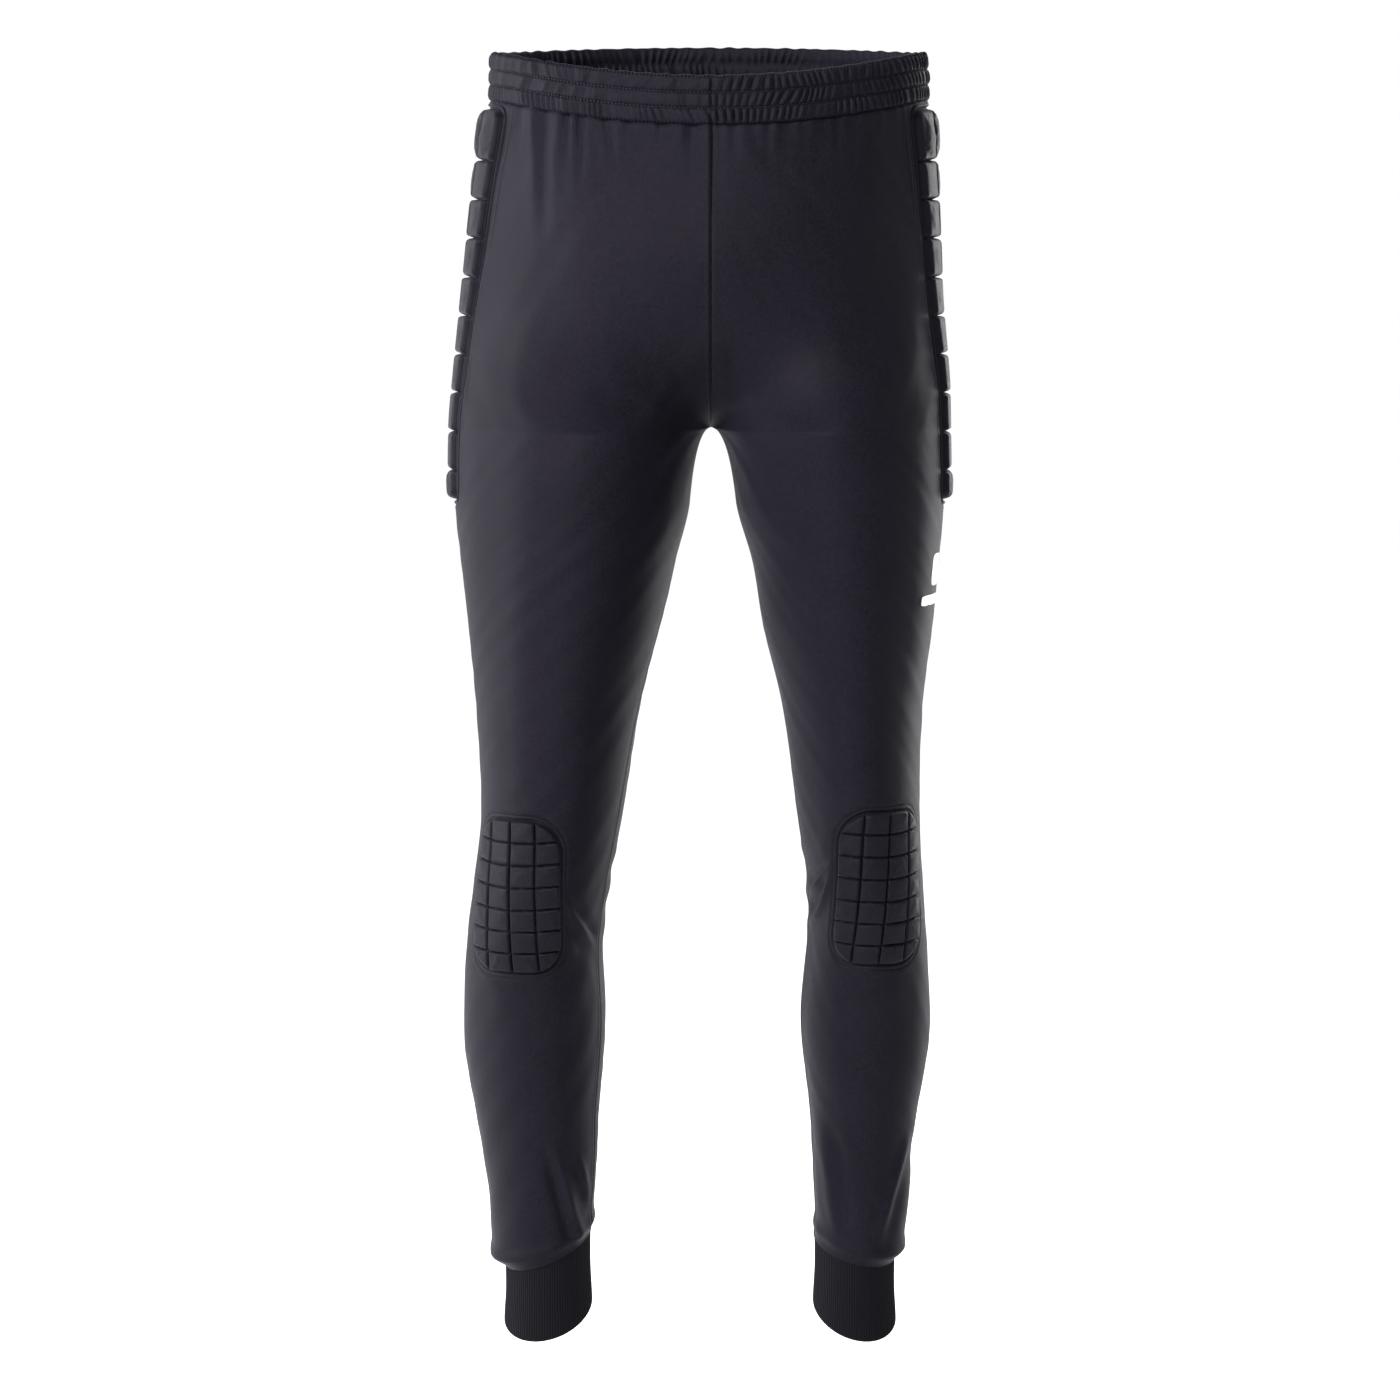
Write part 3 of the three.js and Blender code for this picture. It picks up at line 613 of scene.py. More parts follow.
def leg_grids(leg):
    """The outside and inside of one leg's cloth as grids, with the arc length and level of each point."""
    across, level = np.meshgrid(ACROSS, LEVELS)
    plain = cloth(leg, across, level)
    normal = outward(leg, across, level)
    steps = np.linalg.norm(np.diff(plain, axis=1), axis=-1)
    arc = np.concatenate([np.zeros((len(LEVELS), 1)), np.cumsum(steps, 1)], 1)
    outer = plain + normal * relief(leg, across, level, plain, arc)[..., None]
    angle = (across - 0.5) * 2 * np.pi + leg["knee_turn"]
    tucked = smooth(TUCK_START, HEM + 1.5, level)[..., None] ** 1.3
    outer = outer * (1 - tucked) + cuff_ring(leg, level + 1.0, angle, 0.4) * tucked
    inner = outer - normal * CLOTH_THICKNESS
    above_crotch = level <= CROTCH + 0.1
    for grid in (outer, inner):
        for edge, distance in ((slice(0, 1), arc), (slice(-1, None), arc[:, -1:] - arc)):
            gap = grid[:, edge, 0] - plain[:, edge, 0]
            grid[..., 0] -= np.where(above_crotch, gap * hump(distance, 5), 0)
    return outer, inner, np.stack([arc, -level], -1)


for leg in (RIGHT, LEFT):
    outer, inner, uv = leg_grids(leg)
    for face, columns in (("front", slice(0, SIDE_COLUMN + 1)), ("back", slice(SIDE_COLUMN, None))):
        name = f"{leg['side']}_{face}"
        for part, rows in (("upper", slice(0, SPLIT_ROW + 1)), ("lower", slice(SPLIT_ROW, None))):
            piece = sheet(
                f"{name}_panel_{part}",
                outer[rows, columns],
                inner[rows, columns],
                uv[rows, columns],
                black_tricot,
                flip=leg["sign"] < 0,
            )
            if part == "upper":
                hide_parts(f"{name}_seat", f"{name}_hip_fold", f"{name}_thigh")
                bend_at_hip(piece, leg)
            else:
                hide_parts(f"{name}_knee_fold", f"{name}_shin")
                bend_at_knee(piece, leg)

# ----------------------------------------------------------------------------------------------------
# Hip and knee pads
# Soft foam under a tricot cover, hot-pressed together into rows of blocks with narrow channels between them.
# The outline is pressed flat and sewn into the leg, so the cloth stands up as a thin rim round it.

COVER_THICKNESS = 0.6
FOAM_UNDERSIDE = -1.9  # measured from the plain shape of the cloth, as is the next
FOAM_LEAST_TOP = -1.7


def across_from(leg, level, start, arc):
    """The place across that lies an arc length from a starting place, by steps along the cloth."""
    steps = 24
    across = np.full_like(level, start)
    for _ in range(steps):
        step = cloth(leg, across + 0.001, level) - cloth(leg, across, level)
        speed = np.linalg.norm(step, axis=-1) / 0.001
        across = across + arc / steps / speed
    return across


def shoulder(distance, radius):
    """A rounded shoulder: 0 at the edge, rising as a quarter circle to 1 one radius in."""
    t = 1 - np.clip(distance / radius, 0, 1)
    return np.sqrt(1 - t * t)


def channels(pad, sideways, down):
    """For each place on a pad: its block's column and row, its distance to the nearest upright channel, and
    its distance to the nearest level one. Rows sag in their middle by a parabola."""
    width = (pad["to"] - pad["from"]) / pad["columns"]
    whole = width * pad["columns"]
    down = down + pad["sag"] * ((2 * sideways / whole - 1) ** 2 - 0.4)
    column = np.clip(np.floor(sideways / width), 0, pad["columns"] - 1).astype(int)
    edges = np.array(pad["row_edges"])
    row = np.clip(np.searchsorted(edges, down, side="right") - 1, 0, len(edges) - 2)
    from_side = np.minimum(sideways - column * width, (column + 1) * width - sideways)
    from_row = np.minimum(down - edges[row], edges[row + 1] - down)
    from_row = np.where((row == 0) & (down < (edges[0] + edges[1]) / 2), 99, from_row)
    from_row = np.where((row == len(edges) - 2) & (down > (edges[-1] + edges[-2]) / 2), 99, from_row)
    from_side = np.where((column == 0) & (sideways < width / 2), 99, from_side)
    from_side = np.where((column == pad["columns"] - 1) & (sideways > whole - width / 2), 99, from_side)
    return column, row, from_side, from_row


def pressed_blocks(pad, sideways, down, inside, seed):
    """Height of the quilted face: a quarter-round shoulder along every channel and round the outline,
    multiplied together. Blocks differ a little in height, and each channel's middle is nipped in."""
    column, row, from_side, from_row = channels(pad, sideways, down)
    radius = pad["edge_radius"]
    rise = shoulder(from_side - pad["channel"], radius) * shoulder(from_row - pad["channel"], radius)
    rise = rise * shoulder(inside - BLOCKS_IN, radius * 1.15)
    blocks = (len(pad["row_edges"]), pad["columns"])
    uneven = np.random.default_rng(seed).uniform(-0.22, 0.22, blocks)
    nip = 0.7 * hump(np.minimum(from_side, from_row), 0.6) * smooth(1.0, 3.0, inside)
    return rise * (pad["block_height"] + uneven[row, column]) - nip


def blown_cover(pad, sideways, down, inside):
    """How the cover bulges over the foam: flat cloth, held along its channels and past its outline, that is a
    little longer than its bed and is blown up from below."""
    rows, columns = sideways.shape
    _, _, from_side, from_row = channels(pad, sideways, down)
    held = np.minimum(np.minimum(from_side, from_row), inside - BLOCKS_IN) < 0.9
    points = np.stack([sideways, -down, 0.4 * ~held], -1) * MM
    mesh = bpy.data.meshes.new("cover blank")
    mesh.from_pydata(points.reshape(-1, 3).tolist(), [], grid_quads(rows, columns).tolist())
    blank = bpy.data.objects.new("cover blank", mesh)
    bpy.context.scene.collection.objects.link(blank)
    blank.vertex_groups.new(name="channels").add(np.flatnonzero(held.ravel()).tolist(), 1.0, "REPLACE")
    cloth_blank = blank.modifiers.new("pressing", "CLOTH")
    setting = cloth_blank.settings
    setting.quality, setting.mass = 5, 0.05
    setting.tension_stiffness, setting.compression_stiffness = 12, 12
    setting.shear_stiffness, setting.bending_stiffness = 6, 0.05
    setting.tension_damping = setting.compression_damping = 10
    setting.air_damping = 4
    setting.shrink_min = -0.05
    setting.use_pressure, setting.uniform_pressure_force = True, 60
    setting.effector_weights.gravity = 0
    setting.vertex_group_mass = "channels"
    cloth_blank.collision_settings.use_collision = False
    cloth_blank.collision_settings.use_self_collision = False
    moments = 14
    cloth_blank.point_cache.frame_start, cloth_blank.point_cache.frame_end = 1, moments
    for moment in range(1, moments + 1):
        bpy.context.scene.frame_set(moment)
    blown = blank.evaluated_get(bpy.context.evaluated_depsgraph_get()).data
    heights = np.empty(len(blown.vertices) * 3, np.float32)
    blown.vertices.foreach_get("co", heights)
    heights = heights.reshape(rows, columns, 3)[..., 2] / MM
    bpy.data.objects.remove(blank)
    bpy.data.meshes.remove(mesh)
    bpy.context.scene.frame_set(1)
    return np.clip(np.nan_to_num(heights), 0, 3)


def resized(grid, rows, columns):
    """A grid of numbers stretched to more rows and columns, in straight lines between its own."""
    r, c = np.linspace(0, grid.shape[0] - 1, rows), np.linspace(0, grid.shape[1] - 1, columns)
    wide = np.stack([np.interp(c, np.arange(grid.shape[1]), line) for line in grid])
    return np.stack([np.interp(r, np.arange(grid.shape[0]), line) for line in wide.T], -1)


quilted_tricot = tricot(
    "quilted tricot",
    (0.0014, 0.0013, 0.0022),
    (0.005, 0.0046, 0.0078),
    sheen=0.05,
    shine=0.065,
    roughness=0.42,
)

foam_nodes = Nodes("pad foam")
foam_nodes.set({"Base Color": (0.16, 0.16, 0.17, 1), "Roughness": 0.9})
foam_nodes.bump(0.5, 0.0003, foam_nodes.add("ShaderNodeTexVoronoi", {"Scale": 900.0}))


def pad_grid(pad, step, lift=0.0, shift=0.0):
    """Level, arc, place across the pad, place down it, and distance inside its outline, for a grid over a pad
    and its skirt. Rows shorten round the corners."""
    top, bottom = pad["top"] - lift, pad["bottom"] - lift
    half_width = (pad["to"] - pad["from"]) / 2 + PAD_SKIRT
    half_height = (bottom - top) / 2 + PAD_SKIRT
    corner = pad["corner"] + PAD_SKIRT
    rows, columns = int(round(2 * half_height / step)), int(round(2 * half_width / step))
    end = np.linspace(-1, 1, rows + 1)
    end = np.sign(end) * (1 - (1 - np.abs(end)) ** 1.12)
    u, v = np.meshgrid(np.linspace(-1, 1, columns + 1), end)
    v_mm = v * half_height
    near_end = np.maximum(np.abs(v_mm) - (half_height - corner), 0)
    u_mm = u * (half_width - corner + np.sqrt(np.maximum(corner**2 - near_end**2, 0)))
    level = (top + bottom) / 2 + v_mm
    arc = u_mm + (pad["from"] + pad["to"]) / 2 + pad["lean"] * v_mm + shift
    inside = outline_distance(pad, arc, level, lift, shift)
    return level, arc, u_mm + half_width - PAD_SKIRT, v_mm + half_height - PAD_SKIRT, inside


def lowest_nearby(grid, reach):
    """The lowest number within reach of each place in a grid."""
    for axis in (0, 1):
        grid = np.min([np.roll(grid, shift, axis) for shift in range(-reach, reach + 1)], axis=0)
    return grid


def make_pad(name, leg, pad, start, step, seed, bend, blown, lift=0.0, shift=0.0):
    """A pad's pressed cover and the foam in it, laid on the leg."""
    level, arc, sideways, down, inside = pad_grid(pad, step, lift, shift)
    across = across_from(leg, level, start, arc)
    ground, normal = cloth(leg, across, level), outward(leg, across, level)
    rim = pad["rim"] * hump(inside + 2.1, 0.85) - pad["trench"] * hump(inside - 0.2, 0.95)
    skirt = -2.4 * (1 - smooth(-PAD_SKIRT, -PAD_SKIRT + 0.7, inside))  # its edge is sunk into the leg cloth
    blocks = pressed_blocks(pad, sideways, down, inside, seed)
    if blown is not None:
        blocks = blocks * 0.8 + resized(blown, *blocks.shape) * 0.36 * pad["block_height"] / 3.2
    height = rim + skirt + 0.1 + blocks
    uv = np.stack([sideways, -down], -1)
    flip = leg["sign"] < 0
    at = lambda h: ground + normal * h[..., None]
    under_cover = at(height - COVER_THICKNESS)
    cover = sheet(f"{name}_pad_cover_quilted", at(height), under_cover, uv, quilted_tricot, flip)
    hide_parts(f"{name}_pad_cover")
    # The foam ends at the outline, so the cover's sewn skirt holds none.
    skirt_cells = int(np.ceil(PAD_SKIRT / step))
    in_outline = (slice(skirt_cells + 2, -skirt_cells - 2, 2), slice(skirt_cells, -skirt_cells, 2))
    under = lowest_nearby(height, 3) - COVER_THICKNESS - 0.3
    top_of_foam = np.maximum(under, FOAM_LEAST_TOP)
    foam = sheet(
        f"{name}_foam_pressed",
        at(top_of_foam)[in_outline],
        at(np.full_like(height, FOAM_UNDERSIDE))[in_outline],
        uv[in_outline],
        foam_nodes.material,
        flip,
    )
    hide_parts(f"{name}_foam")
    bend(cover, leg)
    bend(foam, leg)


blown_hip = blown_cover(HIP_PAD, *pad_grid(HIP_PAD, 1.6)[2:])
blown_knee = blown_cover(KNEE_PAD, *pad_grid(KNEE_PAD, 1.2)[2:])
for leg in (RIGHT, LEFT):
    side, sign = leg["side"], leg["sign"]
    make_pad(f"{side}_hip", leg, HIP_PAD, SIDE_SEAM, 1.05, 41 + sign, bend_at_hip, blown_hip)
    moved = (leg["knee_pad_lift"], leg["knee_pad_shift"])
    make_pad(f"{side}_knee", leg, KNEE_PAD, FRONT_MIDDLE, 0.72, 51 + sign, bend_at_knee, blown_knee, *moved)

# ----------------------------------------------------------------------------------------------------
# Waistband
# A casing of the same tricot, folded over at the top and sewn to the legs. Two rows of stitching part it into
# three channels, each with a woven elastic that draws the casing up into small upright ruffles.

BAND_WALL = 4.2  # from the outside of the casing to its inside
CHANNELS = 3
BAND_TOP = 1.2  # the level where the first channel starts
CHANNEL_PITCH = (WAIST_SEAM - BAND_TOP) / CHANNELS
STITCH_PITCH = 2.9
RUFFLE_PITCH = 6.5


def band_ring(count):
    """Places round the whole waist, evenly spaced: whether on the left leg, across, and arc length from the
    centre front; and the whole length."""
    dense = np.linspace(0, 1, 3001)
    level = np.zeros_like(dense)
    lengths = []
    for leg in (LEFT, RIGHT):
        line = cloth(leg, dense, level)
        lengths.append(np.concatenate([[0], np.cumsum(np.linalg.norm(np.diff(line, axis=0), axis=-1))]))
    total = lengths[0][-1] + lengths[1][-1]
    arc = np.arange(count) * total / count
    on_left = arc < lengths[0][-1]
    across = np.where(on_left, np.interp(arc, lengths[0], dense), np.interp(total - arc, lengths[1], dense))
    return on_left, across, arc, total


RING_COLUMNS = 1600
on_left, ring_across, ring_arc, ring_length = band_ring(RING_COLUMNS)


def band_point(level, stand):
    """A point of the band at a level, standing off the waist's plain shape by stand."""
    result = np.empty((*level.shape, 3))
    for leg, here in ((LEFT, on_left), (RIGHT, ~on_left)):
        across = np.broadcast_to(ring_across[here], level[:, here].shape)
        flat = np.maximum(level[:, here], 0)
        point = cloth(leg, across, flat) + outward(leg, across, flat + 1) * stand[:, here][..., None]
        point[..., 2] -= level[:, here] - flat
        result[:, here] = point
    return result


def channel_puff(level):
    """0 on a row of stitching and 1 through a channel's middle, with steep sides."""
    share = np.clip((level - BAND_TOP) / CHANNEL_PITCH, 0, CHANNELS - 1e-6)
    return 1 - np.abs(2 * (share - np.floor(share)) - 1) ** 3.2


def ruffles(level, arc):
    """Uneven upright pleats: a sine whose phase drifts along the band and leans from top to bottom, with an
    amplitude that differs from channel to channel and along the waist."""
    channel = np.clip(((level - BAND_TOP) / CHANNEL_PITCH).astype(int), 0, CHANNELS - 1)
    middle = BAND_TOP + (channel + 0.5) * CHANNEL_PITCH
    height = np.zeros_like(arc)
    waves = round(ring_length / RUFFLE_PITCH)
    right_front = smooth(ring_length * 0.76, ring_length * 0.8, arc)
    for c, (crisp, soft) in enumerate(((0.3, 0.6), (0.2, 0.35), (0.85, 0.4))):
        lean = 0.24 * ripples(60 + c, arc, ring_length, 300, 90, 5) + (0.22, 0.3, -0.25)[c] * right_front
        slid = arc + lean * (level - middle)
        phase = 2 * np.pi * (waves + 9 * c) * slid / ring_length
        phase = phase + 1.5 * ripples(70 + c, arc, ring_length, 120, 30, 8)
        pleat = np.sin(phase) + 0.28 * np.sin(2 * phase + 0.6)
        wide = ripples(80 + c, slid, ring_length, 34, 11, 12)
        strength = np.clip(0.62 + 0.3 * ripples(90 + c, arc, ring_length, 160, 45, 6), 0.15, 1.1)
        tight = strength * pleat * (1 - right_front * (1 - crisp))
        loose = wide * (0.3 + right_front * soft)
        height = np.where(channel == c, 0.85 * tight + 0.6 * loose, height)
    return height


arc_grid = lambda level: np.broadcast_to(ring_arc, (len(level), RING_COLUMNS))
stack = lambda level: np.repeat(np.asarray(level, float)[:, None], RING_COLUMNS, 1)
in_channel = np.array([0, 0.035, 0.08, 0.14, 0.22, 0.33, 0.45, 0.57, 0.68, 0.78, 0.86, 0.92, 0.965])
channel_levels = BAND_TOP + CHANNEL_PITCH * (np.arange(CHANNELS)[:, None] + in_channel)
outer_levels = stack(np.concatenate([[WAIST_SEAM + 0.6], channel_levels.ravel()[:0:-1]]))
inner_levels = stack(np.linspace(2.0, WAIST_SEAM - 0.6, 14))
puff = channel_puff(outer_levels)
centre = np.minimum(ring_arc, ring_length - ring_arc)
back_centre = np.abs(ring_arc - ring_length / 2)
band_seam = hump(centre, 1.3) + hump(back_centre, 1.3)
stand_out = 0.35 + 1.25 * puff + ruffles(outer_levels, arc_grid(outer_levels)) * (0.12 + 0.88 * puff) * 1.15
near_row = 1 - puff
stitch_wave = np.cos(2 * np.pi * ring_arc / STITCH_PITCH)
stand_out = stand_out + 0.75 * stitch_wave * hump(near_row - 0.85, 0.25) - 1.1 * hump(near_row - 1, 0.22)
stand_out = stand_out - 1.2 * band_seam - 0.9 * (1 - smooth(-0.6, 1.4, WAIST_SEAM + 0.6 - outer_levels))
puff_in = channel_puff(inner_levels)
stand_in = -BAND_WALL + 0.9 * (1 - puff_in) - 0.55 * puff_in
stand_in = stand_in + ruffles(inner_levels, arc_grid(inner_levels) + 2.6) * (0.1 + 0.9 * puff_in) * 0.9
fold_turn = np.linspace(0, np.pi, 7)[1:-1, None]
mid_stand = (stand_out[-1] + stand_in[0]) / 2
fold_radius = (stand_out[-1] - stand_in[0]) / 2
top_stand = mid_stand + fold_radius * np.cos(fold_turn)
top_level = 2.0 - 2.2 * np.sin(fold_turn)
top_level = top_level - 0.25 * np.sin(fold_turn) * ripples(99, ring_arc, ring_length, 22, 8, 8)
band_levels = np.concatenate([outer_levels, top_level, inner_levels])
band_stands = np.concatenate([stand_out, top_stand, stand_in])
band_points = band_point(band_levels, band_stands)
facing_out = [0, 3, 2, 1]
band_quads = grid_quads(len(band_levels), RING_COLUMNS, closed_rows=True, ring=True)[:, facing_out]
band_uv = np.stack([np.broadcast_to(ring_arc, band_levels.shape), -band_levels], -1)
casing = surface_mesh("waistband_casing_ruffled", band_points, band_quads, band_uv, black_tricot)
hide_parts("waistband_casing_left", "waistband_casing_right")
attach(casing, "seat")

elastic_nodes = Nodes("woven elastic")
wave_inputs = {"Vector": elastic_nodes.place(), "Scale": 500.0}
elastic_rows = elastic_nodes.add("ShaderNodeTexWave", wave_inputs, bands_direction="Z").node.outputs[1]
elastic_nodes.set({"Base Color": (0.68, 0.66, 0.62, 1), "Roughness": 0.85})
elastic_nodes.bump(0.6, 0.0003, elastic_rows)
for name in ("elastic_upper", "elastic_middle", "elastic_lower"):
    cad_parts[name].data.materials.clear()
    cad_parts[name].data.materials.append(elastic_nodes.material)

# ----------------------------------------------------------------------------------------------------
# Stitching
# Rows of black polyester thread: two round the waistband between its channels, and one beside each hip pad.

THREAD_RADIUS = 0.26

thread_nodes = Nodes("black thread")
thread_nodes.set({"Base Color": (0.008, 0.0075, 0.011, 1), "Specular IOR Level": 0.25, "Roughness": 0.5})
thread_nodes.bump(0.4, 0.0001, thread_nodes.noise(thread_nodes.place(), 2600.0))


def stitch_row(name, path, normal, pitch, length, closed):
    """A row of stitches along a path: each is a spindle, thickest in its middle and sunk at its ends."""
    ends = path[np.r_[1 : len(path), 0]] if closed else path[1:]
    gaps = np.linalg.norm(ends - path[: len(ends)], axis=-1)
    run = np.concatenate([[0], np.cumsum(gaps)])
    whole = np.concatenate([path, path[:1]]) if closed else path
    normals = np.concatenate([normal, normal[:1]]) if closed else normal
    count = int(run[-1] / pitch)
    middles = (np.arange(count) + 0.5) * run[-1] / count
    place = lambda at, of: np.stack([np.interp(at, run, of[:, k]) for k in range(3)], -1)
    rings = np.linspace(-1, 1, 5)
    spots = place((middles[:, None] + rings * length / 2).ravel() % run[-1], whole).reshape(count, 5, 3)
    up = place(middles, normals)
    up /= np.linalg.norm(up, axis=-1, keepdims=True)
    way = spots[:, -1] - spots[:, 0]
    way /= np.linalg.norm(way, axis=-1, keepdims=True)
    side = np.cross(way, up)
    thick = THREAD_RADIUS * np.sqrt(np.maximum(1 - rings**2, 0.08))
    rise = 0.22 * (1 - rings**2) - 0.05
    turn = np.arange(6) * np.pi / 3
    points = (
        spots[:, :, None]
        + up[:, None, None] * (rise[:, None, None] + (thick[:, None] * np.sin(turn))[..., None])
        + side[:, None, None] * (thick[:, None] * np.cos(turn))[..., None]
    )
    caps = [[0, 3, 2, 1], [0, 5, 4, 3], [24, 25, 26, 27], [24, 27, 28, 29]]
    one = np.concatenate([grid_quads(5, 6, ring=True)[:, facing_out], caps])
    quads = (one[None] + 30 * np.arange(count)[:, None, None]).reshape(-1, 4)
    return surface_mesh(name, points, quads, points[..., :2], thread_nodes.material)


for k in (1, 2):
    row_level = stack([BAND_TOP + k * CHANNEL_PITCH])
    path = band_point(row_level, np.full_like(row_level, 0.42))[0]
    away = band_point(row_level, np.full_like(row_level, 1.42))[0] - path
    stitching = stitch_row(f"waistband_stitching_{k}", path, away, STITCH_PITCH, 2.2, closed=True)
    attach(stitching, "seat")

for leg in (RIGHT, LEFT):
    level = np.linspace(HIP_PAD["top"] - 2, HIP_PAD["bottom"] - 8, 160)
    middle = (HIP_PAD["top"] + HIP_PAD["bottom"]) / 2
    arc = HIP_PAD["from"] - 9.5 + HIP_PAD["lean"] * (level - middle)
    across = across_from(leg, level, SIDE_SEAM, arc)
    away = outward(leg, across, level)
    path = cloth(leg, across, level) + away * 0.05
    stitching = stitch_row(f"{leg['side']}_hip_pad_stitching", path, away, 3.0, 2.3, closed=False)
    bend_at_hip(stitching, leg)

# ----------------------------------------------------------------------------------------------------
# Cuffs
# A doubled tube of black rib knit, folded at the bottom and sewn to the hem, which is eased into it.

RIBS = 104
CUFF_WALL = 2.4
CUFF_TOP = HEM - 7
CUFF_TURN = 1.6  # height of the fold at the bottom
RIB_LOOP = 0.0009  # height of a knitted loop, in metres

rib_nodes = Nodes("rib knit")
rib_uv = rib_nodes.add("ShaderNodeSeparateXYZ", {0: rib_nodes.place("UV")})
rib_loops = rib_nodes.waves(rib_uv.node.outputs[1], RIB_LOOP)
rib_fuzz = rib_nodes.noise(rib_nodes.place(), 700.0, detail=3.0)
rib_shade = rib_nodes.math("MULTIPLY_ADD", rib_loops, 0.4, rib_nodes.math("MULTIPLY", rib_fuzz, 0.7))
rib_nodes.set(
    {
        "Base Color": rib_nodes.mix(rib_shade, (0.0010, 0.0009, 0.0015), (0.0036, 0.0034, 0.0050)),
        "Roughness": 0.78,
        "Specular IOR Level": 0.045,
        "Sheen Weight": 0.03,
        "Sheen Tint": (0.85, 0.84, 1, 1),
        "Sheen Roughness": 0.5,
    }
)
rib_nodes.bump(0.5, 0.0002, rib_nodes.math("ADD", rib_loops, rib_fuzz))

for leg in (RIGHT, LEFT):
    columns = RIBS * 6
    angle = np.arange(columns) * 2 * np.pi / columns
    down_levels = np.linspace(CUFF_TOP, ANKLE - CUFF_TURN, 24)
    up_levels = np.linspace(ANKLE - CUFF_TURN, CUFF_TOP, 10)
    turn = np.linspace(0, np.pi, 9)[1:-1]
    half = CUFF_WALL / 2
    levels = np.concatenate([down_levels, ANKLE - CUFF_TURN + CUFF_TURN * np.sin(turn), up_levels])
    spread = np.concatenate([np.zeros(24), -half + half * np.cos(turn), np.full(10, -CUFF_WALL)])
    level, angles = np.broadcast_arrays(levels[:, None], angle[None])
    rib = 0.26 * np.cos(RIBS * angles)
    sides = np.concatenate([np.ones(24), np.cos(turn), -np.ones(10)])[:, None]
    drawn_in = -0.9 * hump(level - (HEM + 20), 26) + 0.7 * smooth(HEM + 30, ANKLE, level)
    stand = spread[:, None] + rib * sides + drawn_in
    points = cuff_ring(leg, level, angles, stand)
    quads = grid_quads(len(levels), columns, closed_rows=True, ring=True)
    if leg["sign"] < 0:
        quads = quads[:, ::-1]
    uv = np.stack([angles * leg["cuff_half_width"], -level], -1)
    cuff = surface_mesh(f"{leg['side']}_cuff_ribbed", points, quads, uv, rib_nodes.material)
    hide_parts(f"{leg['side']}_cuff")
    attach(cuff, f"{leg['side']}_shin")

# ----------------------------------------------------------------------------------------------------
# Thigh print
# A plain white heat transfer on the outside of the left thigh: a rounded square over a narrow bar, each a
# thin film of plastic pressed on hot.

PRINT_LEVEL = CROTCH + 118
PRINT_ARC = -37.0

print_nodes = Nodes("white transfer")
print_grain = print_nodes.noise(print_nodes.place(), 1500.0)
print_tone = print_nodes.mix(print_grain, (0.74, 0.74, 0.75), (0.84, 0.84, 0.84))
print_nodes.set({"Base Color": print_tone, "Roughness": 0.42})
print_nodes.bump(0.25, 0.0001, print_grain)


def print_patch(centre_arc, centre_level, half_width, half_height, power):
    """A patch of the transfer: a superellipse with that power, laid on the thigh. Its outer and inner points,
    and its UVs."""
    rings, spokes = 9, 48
    spoke_angles = np.arange(spokes) * 2 * np.pi / spokes
    radius, turn = np.meshgrid(np.linspace(0.02, 1, rings), spoke_angles, indexing="ij")
    c, s = np.cos(turn), np.sin(turn)
    u = radius * np.sign(c) * np.abs(c) ** (2 / power) * half_width
    v = radius * np.sign(s) * np.abs(s) ** (2 / power) * half_height
    level = centre_level + v
    across = across_from(LEFT, level, SIDE_SEAM, centre_arc + u)
    ground, normal = cloth(LEFT, across, level), outward(LEFT, across, level)
    return ground + normal * 0.42, ground + normal * 0.05, np.stack([u, v], -1)


square = print_patch(PRINT_ARC + 2, PRINT_LEVEL - 8, 12.0, 12.5, 5.0)
bar = print_patch(PRINT_ARC - 3, PRINT_LEVEL + 15.5, 24.0, 4.0, 7.0)
ring_count, spoke_count = square[0].shape[:2]
patch_quads = sheet_quads(ring_count, spoke_count, False, ring=True)
patch_size = 2 * ring_count * spoke_count
print_points = np.concatenate([g.reshape(-1, 3) for patch in (square, bar) for g in patch[:2]])
print_uv = np.concatenate([patch[2].reshape(-1, 2) for patch in (square, bar) for _ in range(2)])
print_quads = np.concatenate([patch_quads, patch_quads + patch_size])
thigh_print = surface_mesh("left_thigh_transfer", print_points, print_quads, print_uv, print_nodes.material)
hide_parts("left_thigh_print")
bend_at_hip(thigh_print, LEFT)

# ----------------------------------------------------------------------------------------------------
# Floor, light and camera
# A plain pale floor, a pale surround, two tall soft lights that rake the legs from either side, and a brighter
# one in front, above the waist.

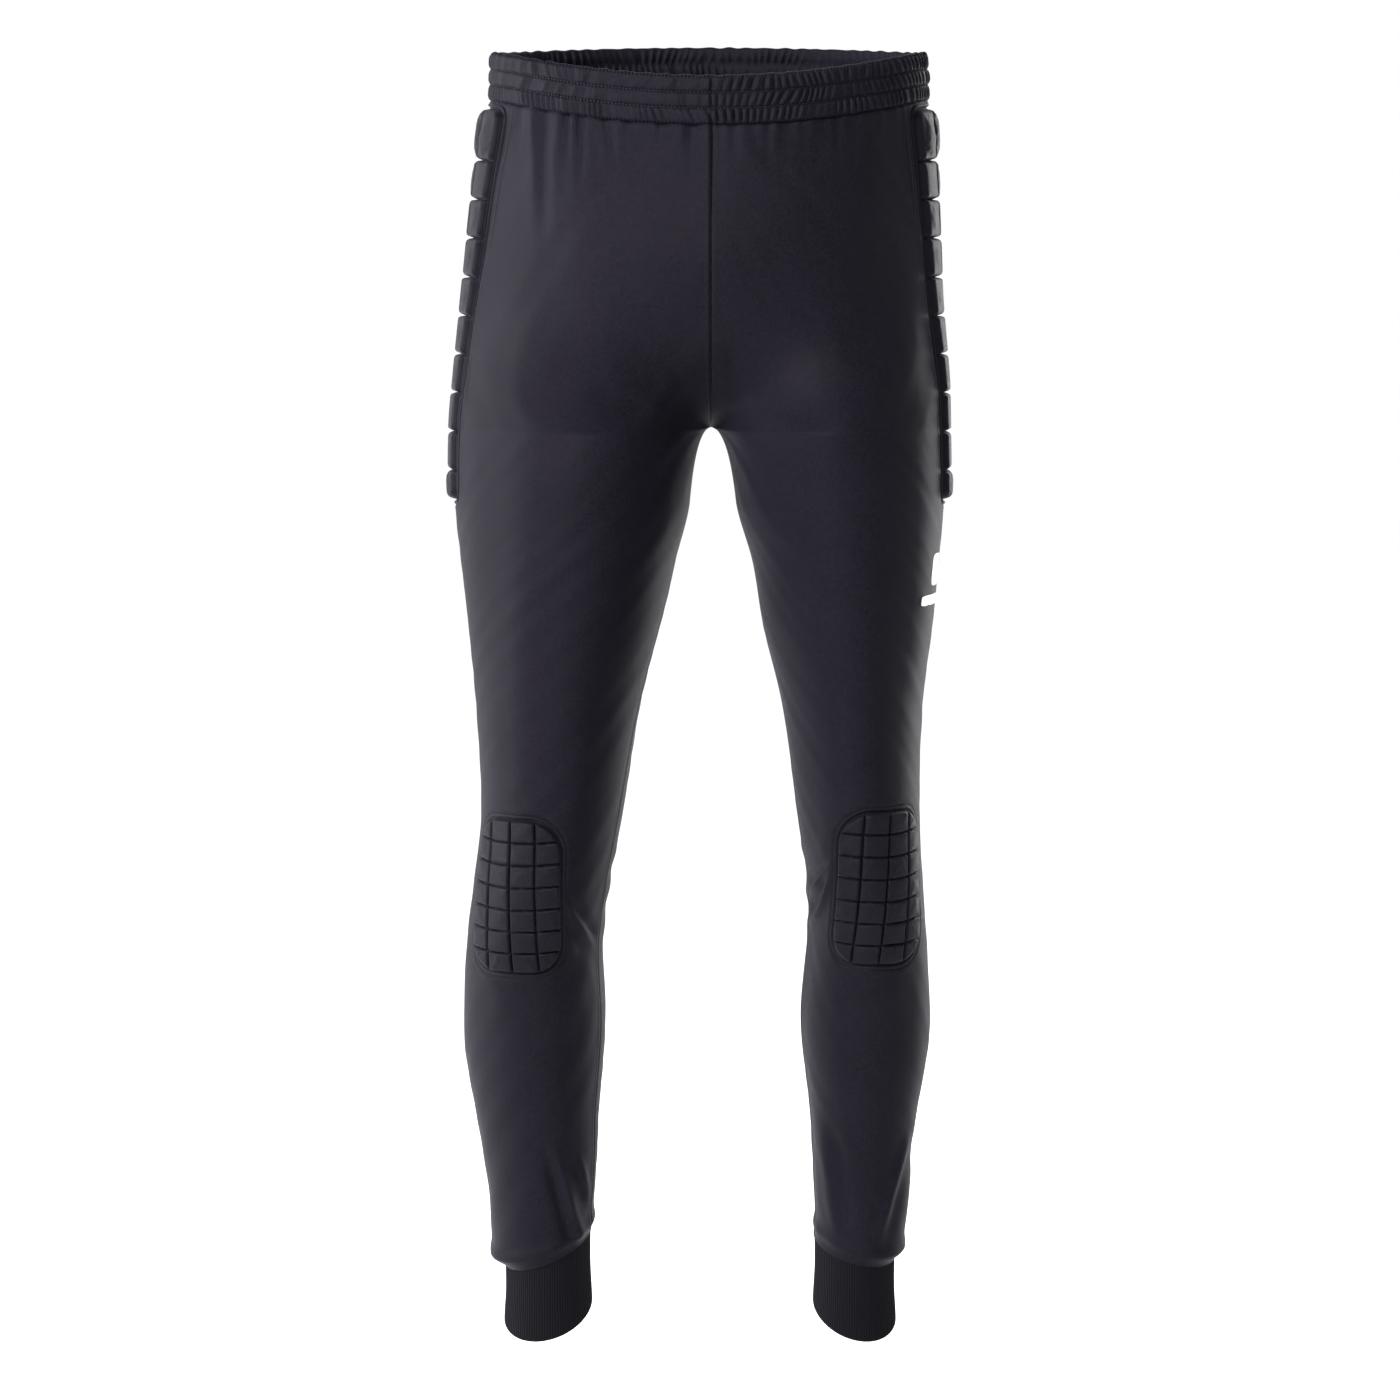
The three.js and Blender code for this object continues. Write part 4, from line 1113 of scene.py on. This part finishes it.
floor_material = Nodes("pale floor")
floor_material.set(
    {
        "Base Color": (0.88, 0.88, 0.88, 1),
        "Emission Color": (1, 1, 1, 1),
        "Emission Strength": 0.13,
        "Roughness": 0.9,
    }
)
FLOOR_LEVEL, FLOOR_REACH = -1.16, 9
floor_mesh = bpy.data.meshes.new("floor")
corner_signs = ((-1, -1), (1, -1), (1, 1), (-1, 1))
floor_corners = [(x * FLOOR_REACH, y * FLOOR_REACH, FLOOR_LEVEL) for x, y in corner_signs]
floor_mesh.from_pydata(floor_corners, [], [(0, 1, 2, 3)])
floor_mesh.materials.append(floor_material.material)
floor = bpy.data.objects.new("floor", floor_mesh)
bpy.context.scene.collection.objects.link(floor)

world = bpy.data.worlds.new("surround")
world.use_nodes = True
background = world.node_tree.nodes["Background"].inputs
background["Color"].default_value = (1, 1, 1, 1)
background["Strength"].default_value = 1.0
bpy.context.scene.world = world


def soft_light(name, place, aim, width, height, power):
    """An oblong lamp that faces a point."""
    light = bpy.data.lights.new(name, "AREA")
    light.shape, light.size, light.size_y, light.energy = "RECTANGLE", width, height, power
    lamp = bpy.data.objects.new(name, light)
    lamp.location = place
    lamp.rotation_euler = (Vector(aim) - Vector(place)).to_track_quat("-Z", "Y").to_euler()
    bpy.context.scene.collection.objects.link(lamp)


soft_light("left side", (-2.1, 0.7, -0.1), (0, 0, -0.5), 1.2, 2.4, 60)
soft_light("right side", (1.5, 2.2, -0.1), (0, 0, -0.5), 0.7, 2.4, 34)
soft_light("key", (-1.75, -1.5, 0.75), (0, 0, -0.3), 1.0, 1.2, 190)

camera_data = bpy.data.cameras.new("camera")
camera_data.lens, camera_data.sensor_width = 103.5, 36
camera_data.dof.use_dof = False
camera = bpy.data.objects.new("camera", camera_data)
camera_place, camera_aim = Vector((-0.0088, -3.2, -0.152)), Vector((-0.0088, 0, -0.512))
camera.location = camera_place
camera.rotation_euler = (camera_aim - camera_place).to_track_quat("-Z", "Y").to_euler()
bpy.context.scene.collection.objects.link(camera)
bpy.context.scene.camera = camera
bpy.context.scene.view_settings.view_transform = "Standard"
